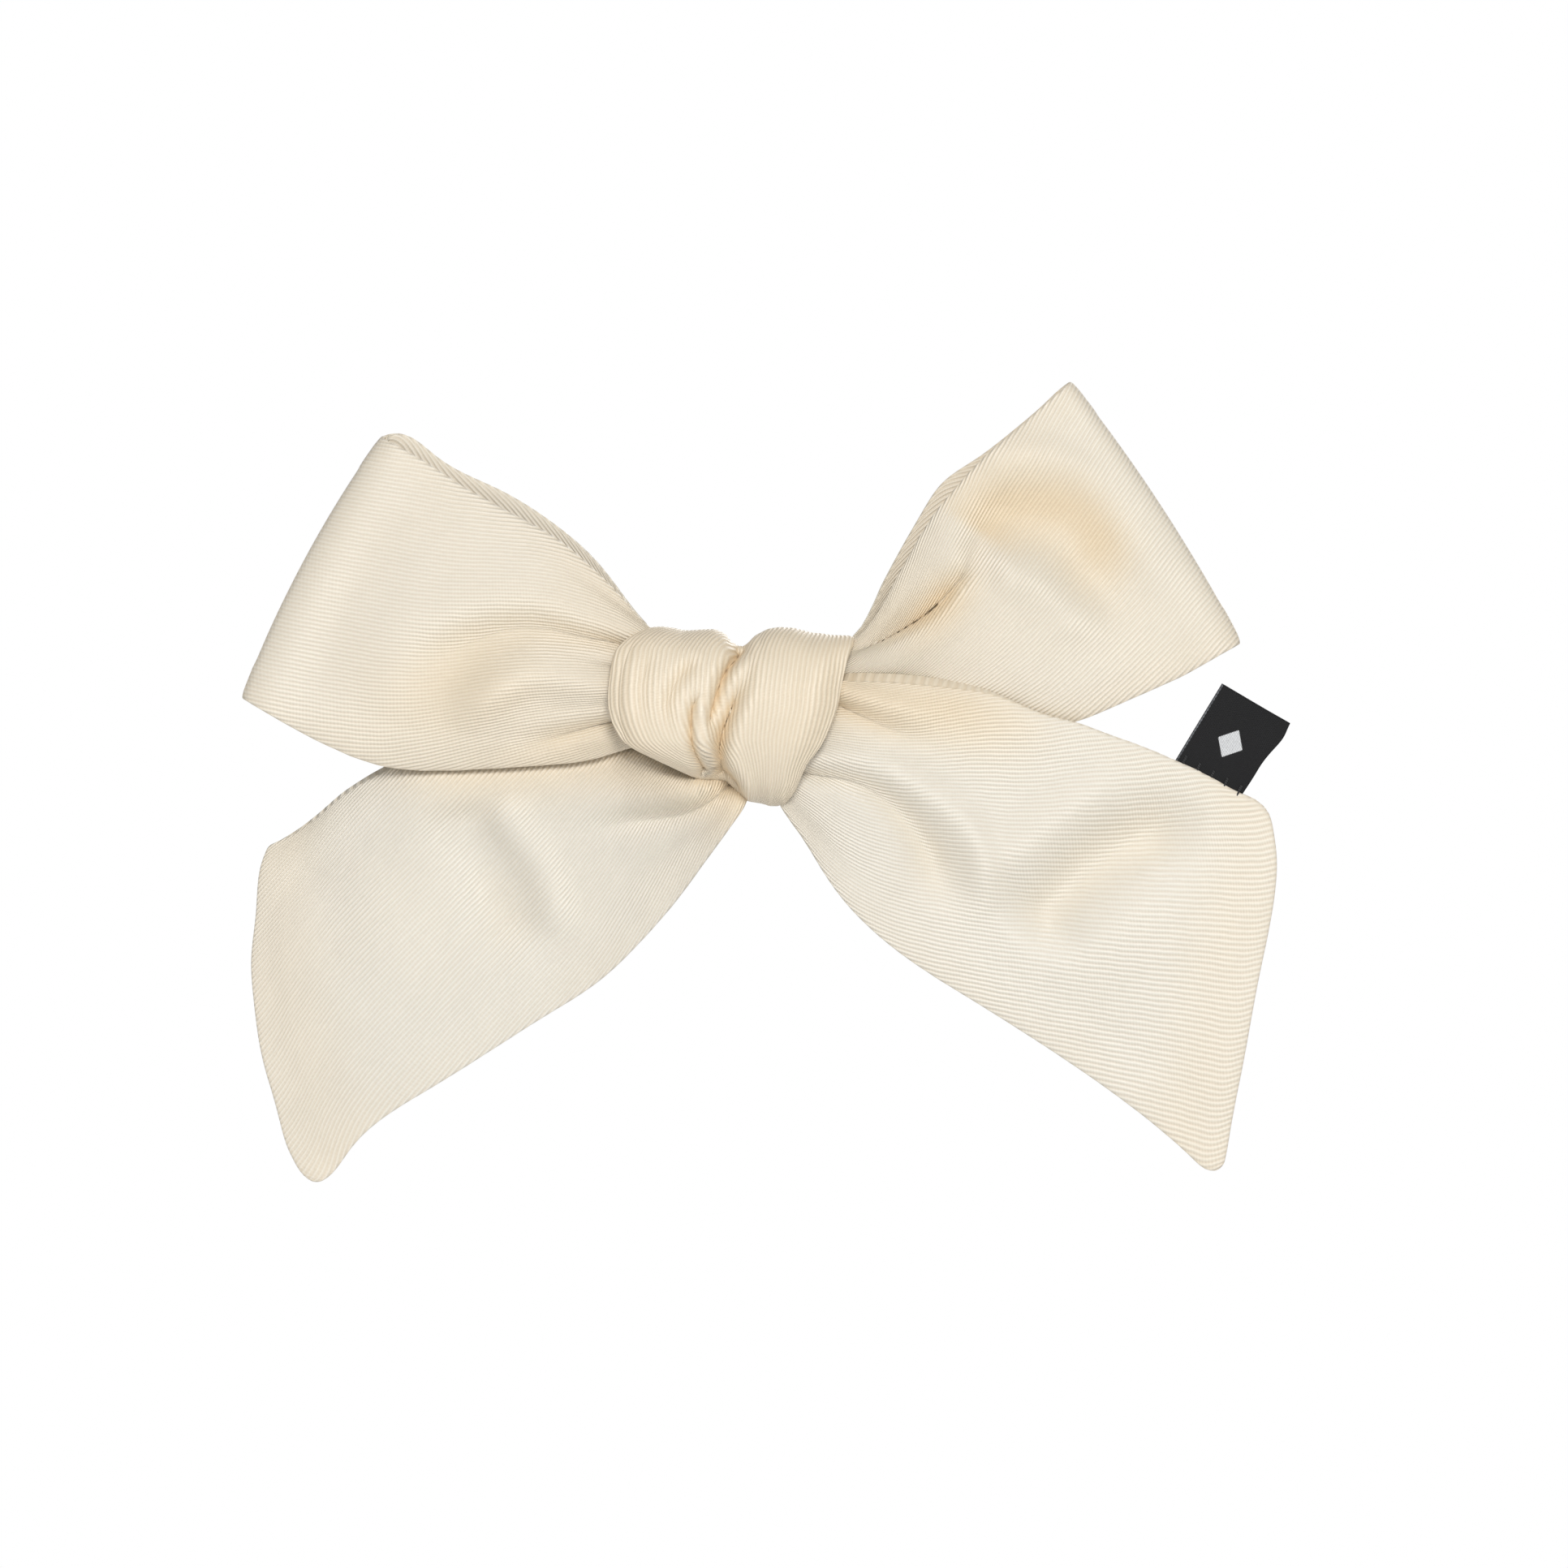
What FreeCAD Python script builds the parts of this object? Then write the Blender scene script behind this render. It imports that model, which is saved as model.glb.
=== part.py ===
import FreeCAD, Part
import math, os

os.makedirs("parts", exist_ok=True)
V = FreeCAD.Vector

# ---------------------------------------------------------------- sizes, mm
# Frame: +X to the wearer's right of the bow, +Z up, the bow faces -Y.
# The origin is the middle of the clip's head-side face.
PLY = 0.45            # one cloth ply with its interlining
PLY_GAP = 0.06        # space between the two plies
BOW_Y = -0.30         # how far the cloth sits in front of its nominal place

CLIP_L = 45.0         # alligator clip, tip to thumb tab
CLIP_TIP = -24.0      # X of the tip
CLIP_HW = 4.0         # half width of the plates
SHEET = 0.8           # clip sheet steel
PIVOT_X = 11.0
PIVOT_Y = -3.1
ARM_IN = -5.4         # inner face of the top arm's flat
PIN_R = 0.75
PIN_CLEAR = 0.03
EAR_R = 1.9
WIRE_R = 0.4          # torsion spring wire radius
COIL_R = 1.45         # mean radius of the coil
COIL_TURNS = 4
SLEEVE_T = 0.40       # ribbon sleeve wall
SLEEVE_X0, SLEEVE_X1 = -14.5, 1.0
PAD_T = 1.0           # felt pad
PAD_Y = -7.72         # front face of the pad
THREAD_R = 0.18

LABEL_W = 9.7         # flag label across
LABEL_H = 9.6         # flag label, seam to fold
LABEL_T = 0.28        # one layer of the label tape


def save(name, shape):
    shape.exportStep(os.path.join("parts", name + ".step"))


# ---------------------------------------------------------------- cloth runs
def curve(points):
    c = Part.BSplineCurve()
    c.interpolate([V(x, y + BOW_Y, z) for x, y, z in points])
    return c


def at(c, t):
    a, b = c.FirstParameter, c.LastParameter
    return c.value(a + (b - a) * t)


def run_grid(low, high, nu, nv, bulge=None, spread=None):
    """Points of a cloth run between its lower and upper long edges."""
    c0, c1 = curve(low), curve(high)
    rows = []
    for i in range(nu + 1):
        u = i / nu
        p0, p1 = at(c0, u), at(c1, u)
        row = []
        for j in range(nv + 1):
            v = j / nv
            p = p0 + (p1 - p0) * v
            if bulge:
                p = p + bulge(u, v)
            row.append(p)
        rows.append(row)
    return rows


def normals(rows):
    nu, nv = len(rows) - 1, len(rows[0]) - 1
    out = []
    for i in range(nu + 1):
        line = []
        for j in range(nv + 1):
            a = rows[min(i + 1, nu)][j] - rows[max(i - 1, 0)][j]
            b = rows[i][min(j + 1, nv)] - rows[i][max(j - 1, 0)]
            n = a.cross(b)
            n.normalize()
            line.append(n)
        out.append(line)
    return out


def surface(rows, ns, d):
    s = Part.BSplineSurface()
    s.interpolate([[p + n * d for p, n in zip(r, m)] for r, m in zip(rows, ns)])
    return s


def sheet_solid(rows, d0, d1):
    """A closed sheet between two offsets of one surface."""
    ns = normals(rows)
    fa, fb = surface(rows, ns, d0).toShape(), surface(rows, ns, d1).toShape()
    sa, sb = fa.Surface, fb.Surface
    ua, ub, va, vb = sa.bounds()
    faces = [fa, fb]
    for first, second in (
        (sa.uIso(ua), sb.uIso(ua)),
        (sa.uIso(ub), sb.uIso(ub)),
        (sa.vIso(va), sb.vIso(va)),
        (sa.vIso(vb), sb.vIso(vb)),
    ):
        faces.append(Part.makeRuledSurface(first.toShape(), second.toShape()))
    shell = Part.makeShell(faces)
    shell.sewShape()
    solid = Part.makeSolid(shell)
    if solid.Volume < 0:
        solid.reverse()
    return solid


def two_plies(name, rows, outer=1.0):
    """Face ply on the outer side and lining ply on the inner side."""
    g = PLY_GAP / 2
    save(name + "_face_ply", sheet_solid(rows, outer * g, outer * (g + PLY)))
    save(name + "_lining_ply", sheet_solid(rows, -outer * g, -outer * (g + PLY)))


def inset_line(rows, j, frac):
    """Line just inside a long edge, between the two plies."""
    other = j + 1 if j == 0 else j - 1
    return [r[j] + (r[other] - r[j]) * frac for r in rows]


def pipe(points, r):
    c = Part.BSplineCurve()
    c.interpolate(points)
    path = Part.Wire([c.toShape()])
    t = c.tangent(c.FirstParameter)[0]
    ring = Part.Wire([Part.makeCircle(r, points[0], t)])
    return path.makePipeShell([ring], True, True)


def hump(v):
    return 4.0 * v * (1.0 - v)


# Left loop: front layer out from the knot, round the fold, back layer home.
LL_HIGH = [(-6.8, -17.0, 4.5), (-12.5, -18.5, 7.0), (-17.2, -19.0, 14.0),
           (-26.5, -19.6, 23.9), (-36.0, -18.4, 30.2), (-41.6, -15.8, 33.3),
           (-42.8, -13.3, 33.9), (-41.6, -11.0, 34.1), (-36.1, -9.9, 31.4),
           (-26.5, -10.3, 25.4), (-17.0, -11.8, 15.5), (-12.6, -13.6, 7.0),
           (-6.8, -14.3, 4.5)]
LL_LOW = [(-6.8, -17.0, -3.5), (-12.5, -18.5, -3.9), (-20.0, -19.5, -5.7),
          (-33.0, -19.8, -6.8), (-47.9, -18.6, -4.7), (-57.6, -16.0, 0.3),
          (-59.8, -13.5, 1.7), (-57.6, -11.2, 1.0), (-47.9, -10.2, -3.6),
          (-33.0, -10.4, -5.6), (-20.0, -11.6, -4.9), (-12.6, -13.6, -3.6),
          (-6.8, -14.3, -2.5)]


def ll_bulge(u, v):
    w = math.sin(math.pi * u)
    front = math.sin(min(1.0, 2 * u) * math.pi)
    return V(-0.9 * hump(v) * w ** 4, -1.3 * hump(v) * front * (1 if u < 0.5 else 0), 0.3 * hump(v) * w ** 4)


left_loop = run_grid(LL_LOW, LL_HIGH, 44, 10, ll_bulge)
two_plies("left_loop", left_loop, -1.0)

# Right loop.
RL_HIGH = [(8.4, -14.6, 4.5), (14.2, -15.8, 7.4), (18.6, -17.0, 12.0),
           (22.7, -18.0, 20.1), (28.0, -18.2, 28.0), (35.0, -17.4, 34.7),
           (40.3, -15.3, 39.6), (41.6, -13.2, 40.8), (40.2, -11.0, 39.4),
           (34.6, -9.6, 34.6), (26.2, -9.4, 28.3), (20.8, -10.0, 19.5),
           (17.2, -10.9, 12.0), (14.0, -12.0, 7.4), (8.4, -12.4, 4.5)]
RL_LOW = [(8.4, -14.6, -3.5), (14.2, -14.4, -3.9), (21.0, -14.0, -3.6),
          (30.0, -14.0, -2.8), (42.0, -14.2, -1.1), (52.0, -14.8, 3.0),
          (61.2, -14.5, 7.8), (63.0, -12.8, 8.9), (61.0, -10.9, 8.4),
          (52.0, -9.9, 4.2), (42.0, -9.5, 0.6), (30.0, -9.4, -2.0),
          (21.0, -9.8, -3.0), (14.0, -11.6, -3.4), (8.4, -12.4, -2.5)]


def rl_bulge(u, v):
    w = math.sin(math.pi * u)
    front = math.sin(min(1.0, 2 * u) * math.pi)
    return V(0.8 * hump(v) * w ** 4, -0.9 * hump(v) * front * (1 if u < 0.5 else 0), 0.5 * hump(v) * w ** 4)


right_loop = run_grid(RL_LOW, RL_HIGH, 48, 10, rl_bulge)
two_plies("right_loop", right_loop)

# Left tail, behind the left loop.
LT_HIGH = [(-6.8, -11.3, 3.6), (-10.5, -9.9, 3.0), (-16.0, -8.7, 1.6),
           (-28.0, -8.3, -1.6), (-42.2, -8.2, -6.8), (-50.0, -8.2, -11.6),
           (-56.7, -8.2, -16.3)]
LT_LOW = [(-6.4, -11.3, -5.0), (-5.2, -10.2, -9.5), (-3.4, -9.3, -14.5),
          (-6.3, -8.8, -22.5), (-11.9, -8.5, -28.9), (-29.0, -8.3, -41.1),
          (-43.9, -8.2, -50.7), (-50.8, -8.2, -57.6)]


def lt_bulge(u, v):
    return V(-3.7 * hump(v) * u ** 3, -0.5 * hump(v) * math.sin(math.pi * u), -0.6 * hump(v) * u ** 3)


left_tail = run_grid(LT_LOW, LT_HIGH, 26, 10, lt_bulge)
two_plies("left_tail", left_tail, -1.0)

# Right tail, in front of the right loop.
RT_HIGH = [(8.4, -18.0, 3.0), (13.9, -18.4, 3.7), (21.0, -17.5, 3.9),
           (32.1, -16.9, 2.6), (42.1, -16.7, -0.8), (50.3, -16.3, -3.9),
           (58.0, -15.7, -7.3), (65.3, -15.2, -10.8)]
RT_LOW = [(8.4, -17.2, -4.6), (9.6, -16.8, -9.5), (10.4, -16.6, -15.0),
          (14.0, -16.4, -22.0), (22.1, -16.1, -30.4), (37.7, -15.6, -40.3),
          (52.4, -15.3, -50.8), (59.3, -15.2, -56.3)]


def rt_bulge(u, v):
    return V(2.9 * hump(v) * u ** 3, -0.6 * hump(v) * math.sin(math.pi * u), 0.2 * hump(v) * u ** 3)


right_tail = run_grid(RT_LOW, RT_HIGH, 28, 10, rt_bulge)
two_plies("right_tail", right_tail)

# Seam thread: one line just inside each long edge of every run.
threads = []
for rows in (left_loop, right_loop, left_tail, right_tail):
    for j, frac in ((0, 0.30), (len(rows[0]) - 1, 0.30)):
        line = inset_line(rows, j, frac)
        threads.append(pipe(line[2:-2:2], 0.12))
save("edge_seam_thread", Part.makeCompound(threads))

# ---------------------------------------------------------------- knot
# The wrap is a strip that starts at the back, passes under, over the front
# and down the back again.  Left and right edges per angle round the X axis,
# counted from the front, positive to the top.
KNOT_Y = -15.1
KNOT_RY = 7.3
WRAP = [  # angle, left X, right X, radius in Z
    (-172, -6.5, 8.0, 10.2), (-150, -6.0, 8.2, 10.4), (-120, -3.0, 7.6, 11.0),
    (-90, -0.6, 6.8, 11.0), (-65, -5.0, 8.6, 10.6), (-40, -11.4, 11.2, 10.2),
    (-20, -14.2, 12.8, 10.2), (0, -14.8, 13.4, 10.2), (25, -14.6, 13.8, 10.2),
    (50, -13.2, 14.4, 10.4), (75, -10.6, 15.0, 10.6), (95, -9.8, 14.6, 10.6),
    (120, -9.2, 12.6, 10.4), (150, -8.0, 10.2, 10.2), (172, -7.2, 9.0, 10.2)]


def lerp_table(table, a):
    for (a0, *r0), (a1, *r1) in zip(table, table[1:]):
        if a <= a1 or (a1, *r1) == table[-1]:
            t = (a - a0) / (a1 - a0)
            t = t * t * (3 - 2 * t)
            return [p + (q - p) * t for p, q in zip(r0, r1)]


def wrap_grid(nu, nv):
    rows = []
    for i in range(nu + 1):
        a = WRAP[0][0] + (WRAP[-1][0] - WRAP[0][0]) * i / nu
        xl, xr, rz = lerp_table(WRAP, a)
        row = []
        for j in range(nv + 1):
            v = j / nv
            # lobes: two soft swellings with a valley between them
            swell = 0.5 * math.cos(2 * math.pi * (v * 2 - 0.5)) * math.cos(math.radians(a) / 2) ** 2
            ry = KNOT_RY + swell * 0.5 - 0.4
            r = math.radians(a)
            row.append(V(xl + (xr - xl) * v,
                         KNOT_Y + BOW_Y - ry * math.cos(r),
                         (rz + swell * 0.3 - 0.45) * math.sin(r)))
        rows.append(row)
    return rows


wrap = wrap_grid(48, 12)
two_plies("knot_wrap", wrap, -1.0)

# Gathered middle of the loops and tails, with a waist for the thread.
cy = KNOT_Y + BOW_Y
prof = Part.BSplineCurve()
prof.interpolate([V(-5.9, 4.6, 0), (V(-4.0, 5.2, 0)), V(-1.2, 4.5, 0), V(0.8, 4.0, 0),
                  V(2.8, 4.5, 0), V(5.6, 5.2, 0), V(7.6, 4.6, 0)])
prof_edge = prof.toShape()
side = [Part.makeLine(V(-5.9, 4.6, 0), V(-5.9, 0, 0)),
        Part.makeLine(V(-5.9, 0, 0), V(7.6, 0, 0)),
        Part.makeLine(V(7.6, 0, 0), V(7.6, 4.6, 0))]
core = Part.Face(Part.Wire(Part.__sortEdges__([prof_edge] + side))).revolve(V(0, 0, 0), V(1, 0, 0), 360)
core.translate(V(0, cy, 0))
save("gathered_core", core if core.ShapeType == "Solid" else core.Solids[0])

# Gathering thread: turns wound side by side in the waist.
helix = Part.makeHelix(0.42, 0.42 * 5, 4.35 + THREAD_R)
helix.rotate(V(0, 0, 0), V(0, 1, 0), 90)
helix.translate(V(-0.25, cy, 0))
e = helix.Edges[0]
tan = e.tangentAt(e.FirstParameter)
ring = Part.Wire([Part.makeCircle(THREAD_R, e.valueAt(e.FirstParameter), tan)])
gt = Part.Wire(helix.Edges).makePipeShell([ring], True, True)
save("gathering_thread", gt)

# Whip stitches that close the wrap at the back of the knot.
closing = []
for k in range(6):
    x = -5.0 + k * 2.2
    yb = cy + KNOT_RY * 1.0
    closing.append(pipe([V(x, yb - 0.9, 2.6), V(x + 0.1, yb + 0.02, 1.9), V(x + 0.2, yb + 0.16, 0.0),
                         V(x + 0.3, yb + 0.02, -1.9), V(x + 0.4, yb - 0.9, -2.6)], 0.15))
save("knot_closing_stitches", Part.makeCompound(closing))

# ---------------------------------------------------------------- felt pad
pad = Part.makeBox(22.0, PAD_T, 12.0, V(-12.5, PAD_Y, -6.0))
pad = pad.makeFillet(3.0, [e for e in pad.Edges if abs(e.tangentAt(e.FirstParameter).y) > 0.9])
save("felt_backing_pad", pad)


# ---------------------------------------------------------------- clip
def plate(points, width):
    """Bent sheet: profile of its centre line in XY, swept across Z."""
    n = len(points)
    left, right = [], []
    for i, (x, y) in enumerate(points):
        ax, ay = points[max(i - 1, 0)]
        bx, by = points[min(i + 1, n - 1)]
        l = math.hypot(bx - ax, by - ay)
        nx, ny = -(by - ay) / l, (bx - ax) / l
        left.append(V(x + nx * SHEET / 2, y + ny * SHEET / 2, -width))
        right.append(V(x - nx * SHEET / 2, y - ny * SHEET / 2, -width))
    loop = left + right[::-1]
    face = Part.Face(Part.makePolygon(loop + [loop[0]]))
    return face.extrude(V(0, 0, 2 * width))


def outline(x0, x1, hw_tip, hw_tail, r=1.2):
    """Plan shape of a clip half, as a tall block to cut the sheets with."""
    pts = [V(x0, -30, -hw_tip), V(x0 + 5, -30, -CLIP_HW), (V(PIVOT_X + 3, -30, -CLIP_HW)),
           V(x1, -30, -hw_tail), V(x1, -30, hw_tail), V(PIVOT_X + 3, -30, CLIP_HW),
           V(x0 + 5, -30, CLIP_HW), V(x0, -30, hw_tip)]
    b = Part.Face(Part.makePolygon(pts + [pts[0]])).extrude(V(0, 40, 0))
    corner = [e for e in b.Edges if abs(e.tangentAt(e.FirstParameter).y) > 0.9]
    return b.makeFillet(r, corner)


def ears(z0, z1, y_root):
    """Pair of ears from a plate to the pivot, round at the pin."""
    out = []
    for s in (1, -1):
        zz = z0 if s > 0 else -z1
        disc = Part.makeCylinder(EAR_R, z1 - z0, V(PIVOT_X, PIVOT_Y, zz), V(0, 0, 1))
        lo, hi = sorted((y_root, PIVOT_Y))
        web = Part.makeBox(2 * EAR_R, hi - lo, z1 - z0, V(PIVOT_X - EAR_R, lo, zz))
        foot = Part.makeBox(2 * EAR_R + 2.4, 0.35, z1 - z0,
                            V(PIVOT_X - EAR_R - 1.2, y_root - (0.35 if y_root > PIVOT_Y else 0.0), zz))
        out += [disc, web, foot]
    return out


bore = Part.makeCylinder(PIN_R + PIN_CLEAR, 20, V(PIVOT_X, PIVOT_Y, -10), V(0, 0, 1))

# Head-side jaw: flat plate, two outer ears, serrated tip.
jaw = Part.makeBox(CLIP_L, SHEET, 2 * CLIP_HW, V(CLIP_TIP, -SHEET, -CLIP_HW))
jaw = jaw.common(outline(CLIP_TIP, CLIP_TIP + CLIP_L, 3.0, 3.2))
jaw = jaw.fuse(ears(3.35, 3.95, -SHEET + 0.1)).cut(bore)
for k in range(4):
    x = CLIP_TIP + 2.6 + 1.3 * k
    notch = Part.makePolygon([V(x - 0.35, -SHEET - 0.01, -10), V(x + 0.35, -SHEET - 0.01, -10),
                              V(x, -SHEET + 0.3, -10), V(x - 0.35, -SHEET - 0.01, -10)])
    jaw = jaw.cut(Part.Face(notch).extrude(V(0, 0, 20)))
save("clip_head_jaw", jaw.removeSplitter())

# Top arm: toothed tip, flat for the ribbon, flared thumb tab, inner ears.
mid = ARM_IN - SHEET / 2
arm_line = [(CLIP_TIP + 0.3, -1.15), (CLIP_TIP + 0.75, -2.5), (CLIP_TIP + 2.2, -3.5),
            (CLIP_TIP + 5.0, -4.8), (CLIP_TIP + 7.0, -5.45), (CLIP_TIP + 9.0, mid + 0.05),
            (CLIP_TIP + 10.0, mid), (12.6, mid), (14.0, mid - 0.25), (15.6, mid - 0.65),
            (CLIP_TIP + CLIP_L, mid - 2.1)]
arm = plate(arm_line, CLIP_HW + 1).common(outline(CLIP_TIP - 0.3, CLIP_TIP + CLIP_L, 3.0, 3.2))
for k in range(3):
    z = -2.0 + 2.0 * k
    tooth_gap = Part.makePolygon([V(CLIP_TIP - 2, -0.5, z - 0.62), V(CLIP_TIP - 2, -0.5, z + 0.62),
                                  V(CLIP_TIP - 2, -2.2, z), V(CLIP_TIP - 2, -0.5, z - 0.62)])
    arm = arm.cut(Part.Face(tooth_gap).extrude(V(4, 0, 0)))
arm = arm.fuse(ears(2.55, 3.15, ARM_IN - 0.1)).cut(bore)
save("clip_top_arm", arm.removeSplitter())

# Hinge pin with a rivet head at each end.
pin = Part.makeCylinder(PIN_R, 8.2, V(PIVOT_X, PIVOT_Y, -4.1), V(0, 0, 1))
for s in (1, -1):
    head = Part.makeCylinder(1.25, 0.45, V(PIVOT_X, PIVOT_Y, 4.05 if s > 0 else -4.5), V(0, 0, 1))
    rim = [e for e in head.Edges if abs(abs(e.BoundBox.ZMin) - 4.5) < 1e-6 and abs(abs(e.BoundBox.ZMax) - 4.5) < 1e-6]
    head = head.makeFillet(0.3, rim)
    pin = pin.fuse(head)
save("hinge_pin", pin.removeSplitter())

# Torsion spring: coil round the pin and a leg along each plate.
pitch = 2 * WIRE_R + 0.03
coil_l = pitch * COIL_TURNS
pts = []
z0 = -coil_l / 2
n = 24
leg_a = V(PIVOT_X - 8.0, -SHEET - WIRE_R - 0.06, z0)
leg_b = V(PIVOT_X - 8.0, ARM_IN + WIRE_R + 0.06, -z0)
total = int(n * (COIL_TURNS + 0.5))
for i in range(total + 1):
    # start at the coil's head side, run towards -X under tension
    a = math.radians(90) - 2 * math.pi * i / n
    pts.append(V(PIVOT_X + COIL_R * math.cos(a), PIVOT_Y + COIL_R * math.sin(a),
                 z0 + (2 * -z0) * i / total))
wire_pts = [leg_a, V(PIVOT_X - 4.0, (leg_a.y + pts[0].y) / 2 + 0.05, z0), V(PIVOT_X - 1.2, pts[0].y + 0.03, z0)]
wire_pts += pts
wire_pts += [V(PIVOT_X - 1.2, pts[-1].y - 0.03, -z0), V(PIVOT_X - 4.0, (leg_b.y + pts[-1].y) / 2 - 0.05, -z0), leg_b]
save("torsion_spring", pipe(wire_pts, WIRE_R))

# Ribbon sleeve on the flat of the top arm.
lx = SLEEVE_X1 - SLEEVE_X0
outer_box = Part.makeBox(lx, SHEET + 0.1 + 2 * SLEEVE_T, 2 * (CLIP_HW + 0.05 + SLEEVE_T),
                         V(SLEEVE_X0, ARM_IN - SHEET - 0.05 - SLEEVE_T, -(CLIP_HW + 0.05 + SLEEVE_T)))
outer_box = outer_box.makeFillet(0.35, [e for e in outer_box.Edges if abs(e.tangentAt(e.FirstParameter).x) > 0.9])
inner_box = Part.makeBox(lx + 2, SHEET + 0.1, 2 * (CLIP_HW + 0.05),
                         V(SLEEVE_X0 - 1, ARM_IN - SHEET - 0.05, -(CLIP_HW + 0.05)))
save("clip_ribbon_sleeve", outer_box.cut(inner_box))

# Whip stitches that tack the sleeve to the felt pad.
tacks = []
for s in (1, -1):
    for k in range(4):
        x = SLEEVE_X0 + 2.0 + k * 3.6
        tacks.append(pipe([V(x, PAD_Y + 0.35, s * 5.4), V(x + 0.1, -6.2, s * 5.1), V(x + 0.25, -5.2, s * 4.75),
                           V(x + 0.4, -4.72, s * 4.1), V(x + 0.5, -5.1, s * 3.55)], 0.15))
save("clip_tack_stitches", Part.makeCompound(tacks))

# ---------------------------------------------------------------- label
# Folded woven tape: both ends at the tail's upper seam, fold at the far edge.
ax = V(0.8794, 0, -0.4761)     # along the seam
ay = V(0, 1, 0)
az = V(0.4761, 0, 0.8794)      # from the seam to the fold
LABEL_Y = -15.25 + BOW_Y
corner = V(54.92, LABEL_Y, -5.30)


def local(a, t, h):
    return corner + ax * a + ay * t + az * h


half = LABEL_T + 0.06
arc_top = LABEL_H - half
edges = []


def seg(t0, h0, t1, h1):
    return Part.makeLine(local(0, t0, h0), local(0, t1, h1))


def bend(r):
    return Part.Arc(local(0, -r, arc_top), local(0, 0, arc_top + r), local(0, r, arc_top)).toShape()


edges = [seg(-half, 0, -half, arc_top), bend(half), seg(half, arc_top, half, 0), seg(half, 0, 0.06, 0),
         seg(0.06, 0, 0.06, arc_top), bend(0.06), seg(-0.06, arc_top, -0.06, 0), seg(-0.06, 0, -half, 0)]
label = Part.Face(Part.Wire(Part.__sortEdges__(edges))).extrude(ax * LABEL_W)
save("flag_label", label)

# Stitches that hold the label's ends at the seam.
tails = []
for k in range(5):
    a = 1.0 + k * (LABEL_W - 2.0) / 4
    tails.append(pipe([local(a, -half - 0.1, 0.75), local(a + 0.05, -half - 0.22, 0.1), local(a + 0.1, -half - 0.1, -0.75),
                       local(a + 0.12, 0.0, -1.0)], 0.12))
save("label_stitches", Part.makeCompound(tails))
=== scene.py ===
import math

import bpy
import numpy as np
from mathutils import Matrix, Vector


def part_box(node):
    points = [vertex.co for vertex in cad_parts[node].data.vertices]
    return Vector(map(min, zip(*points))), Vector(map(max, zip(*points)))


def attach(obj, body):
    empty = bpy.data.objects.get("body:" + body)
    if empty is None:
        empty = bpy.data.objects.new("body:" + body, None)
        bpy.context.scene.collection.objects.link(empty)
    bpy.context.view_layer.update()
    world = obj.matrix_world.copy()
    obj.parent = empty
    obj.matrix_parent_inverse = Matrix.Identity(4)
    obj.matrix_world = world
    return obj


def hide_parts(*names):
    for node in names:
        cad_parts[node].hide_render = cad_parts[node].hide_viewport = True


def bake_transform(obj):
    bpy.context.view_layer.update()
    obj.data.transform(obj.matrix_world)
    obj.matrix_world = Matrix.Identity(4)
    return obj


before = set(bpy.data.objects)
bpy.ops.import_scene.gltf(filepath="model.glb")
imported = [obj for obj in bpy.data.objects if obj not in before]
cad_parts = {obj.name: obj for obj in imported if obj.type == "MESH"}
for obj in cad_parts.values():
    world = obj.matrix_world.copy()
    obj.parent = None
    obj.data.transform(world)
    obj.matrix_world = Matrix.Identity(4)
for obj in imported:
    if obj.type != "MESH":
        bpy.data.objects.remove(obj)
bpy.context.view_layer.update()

MM = 0.001
SCENE = bpy.context.scene

# The camera stands straight in front of the bow, 1.2 m away, on a long lens.
CAM = np.array([6.6, -1215.0, -8.6])
PLANE = -15.0
REACH = PLANE - CAM[1]


def seen(x, z, y):
    """Place at depth y that the camera sees at (x, z) on the bow's own plane."""
    s = (np.asarray(y, float) - CAM[1]) / REACH
    return np.stack([CAM[0] + (x - CAM[0]) * s, np.asarray(y, float) + 0 * s, CAM[2] + (z - CAM[2]) * s], -1)


# ------------------------------------------------------------------ numbers
def cubic(knots, vals, x):
    """Natural cubic spline through vals at knots, at x."""
    k, v = np.asarray(knots, float), np.asarray(vals, float)
    if v.ndim == 1:
        return cubic(k, v[:, None], x)[:, 0]
    n = len(k)
    h = np.diff(k)
    a = np.zeros((n, n))
    r = np.zeros((n, v.shape[1]))
    a[0, 0] = a[-1, -1] = 1
    for i in range(1, n - 1):
        a[i, i - 1], a[i, i], a[i, i + 1] = h[i - 1], 2 * (h[i - 1] + h[i]), h[i]
        r[i] = 6 * ((v[i + 1] - v[i]) / h[i] - (v[i] - v[i - 1]) / h[i - 1])
    m = np.linalg.solve(a, r)
    x = np.atleast_1d(np.asarray(x, float))
    i = np.clip(np.searchsorted(k, x) - 1, 0, n - 2)
    hi, t0, t1 = h[i][:, None], (k[i + 1] - x)[:, None], (x - k[i])[:, None]
    return (m[i] * t0 ** 3 + m[i + 1] * t1 ** 3) / (6 * hi) + (v[i] / hi - m[i] * hi / 6) * t0 + (v[i + 1] / hi - m[i + 1] * hi / 6) * t1


def edge(points, apex=None):
    """An edge as a function of u in 0..1. apex is the index of the fold point, at u 0.5."""
    p = np.array([seen(x, z, y) for x, y, z in points])
    d = np.concatenate([[0], np.cumsum(np.linalg.norm(np.diff(p, axis=0), axis=1))])
    if apex is None:
        k = d / d[-1]
    else:
        k = np.where(np.arange(len(p)) <= apex, 0.5 * d / d[apex], 0.5 + 0.5 * (d - d[apex]) / (d[-1] - d[apex]))
    return lambda u: cubic(k, p, u)


def smooth(a, b, x):
    t = np.clip((x - a) / (b - a), 0, 1)
    return t * t * (3 - 2 * t)


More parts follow.
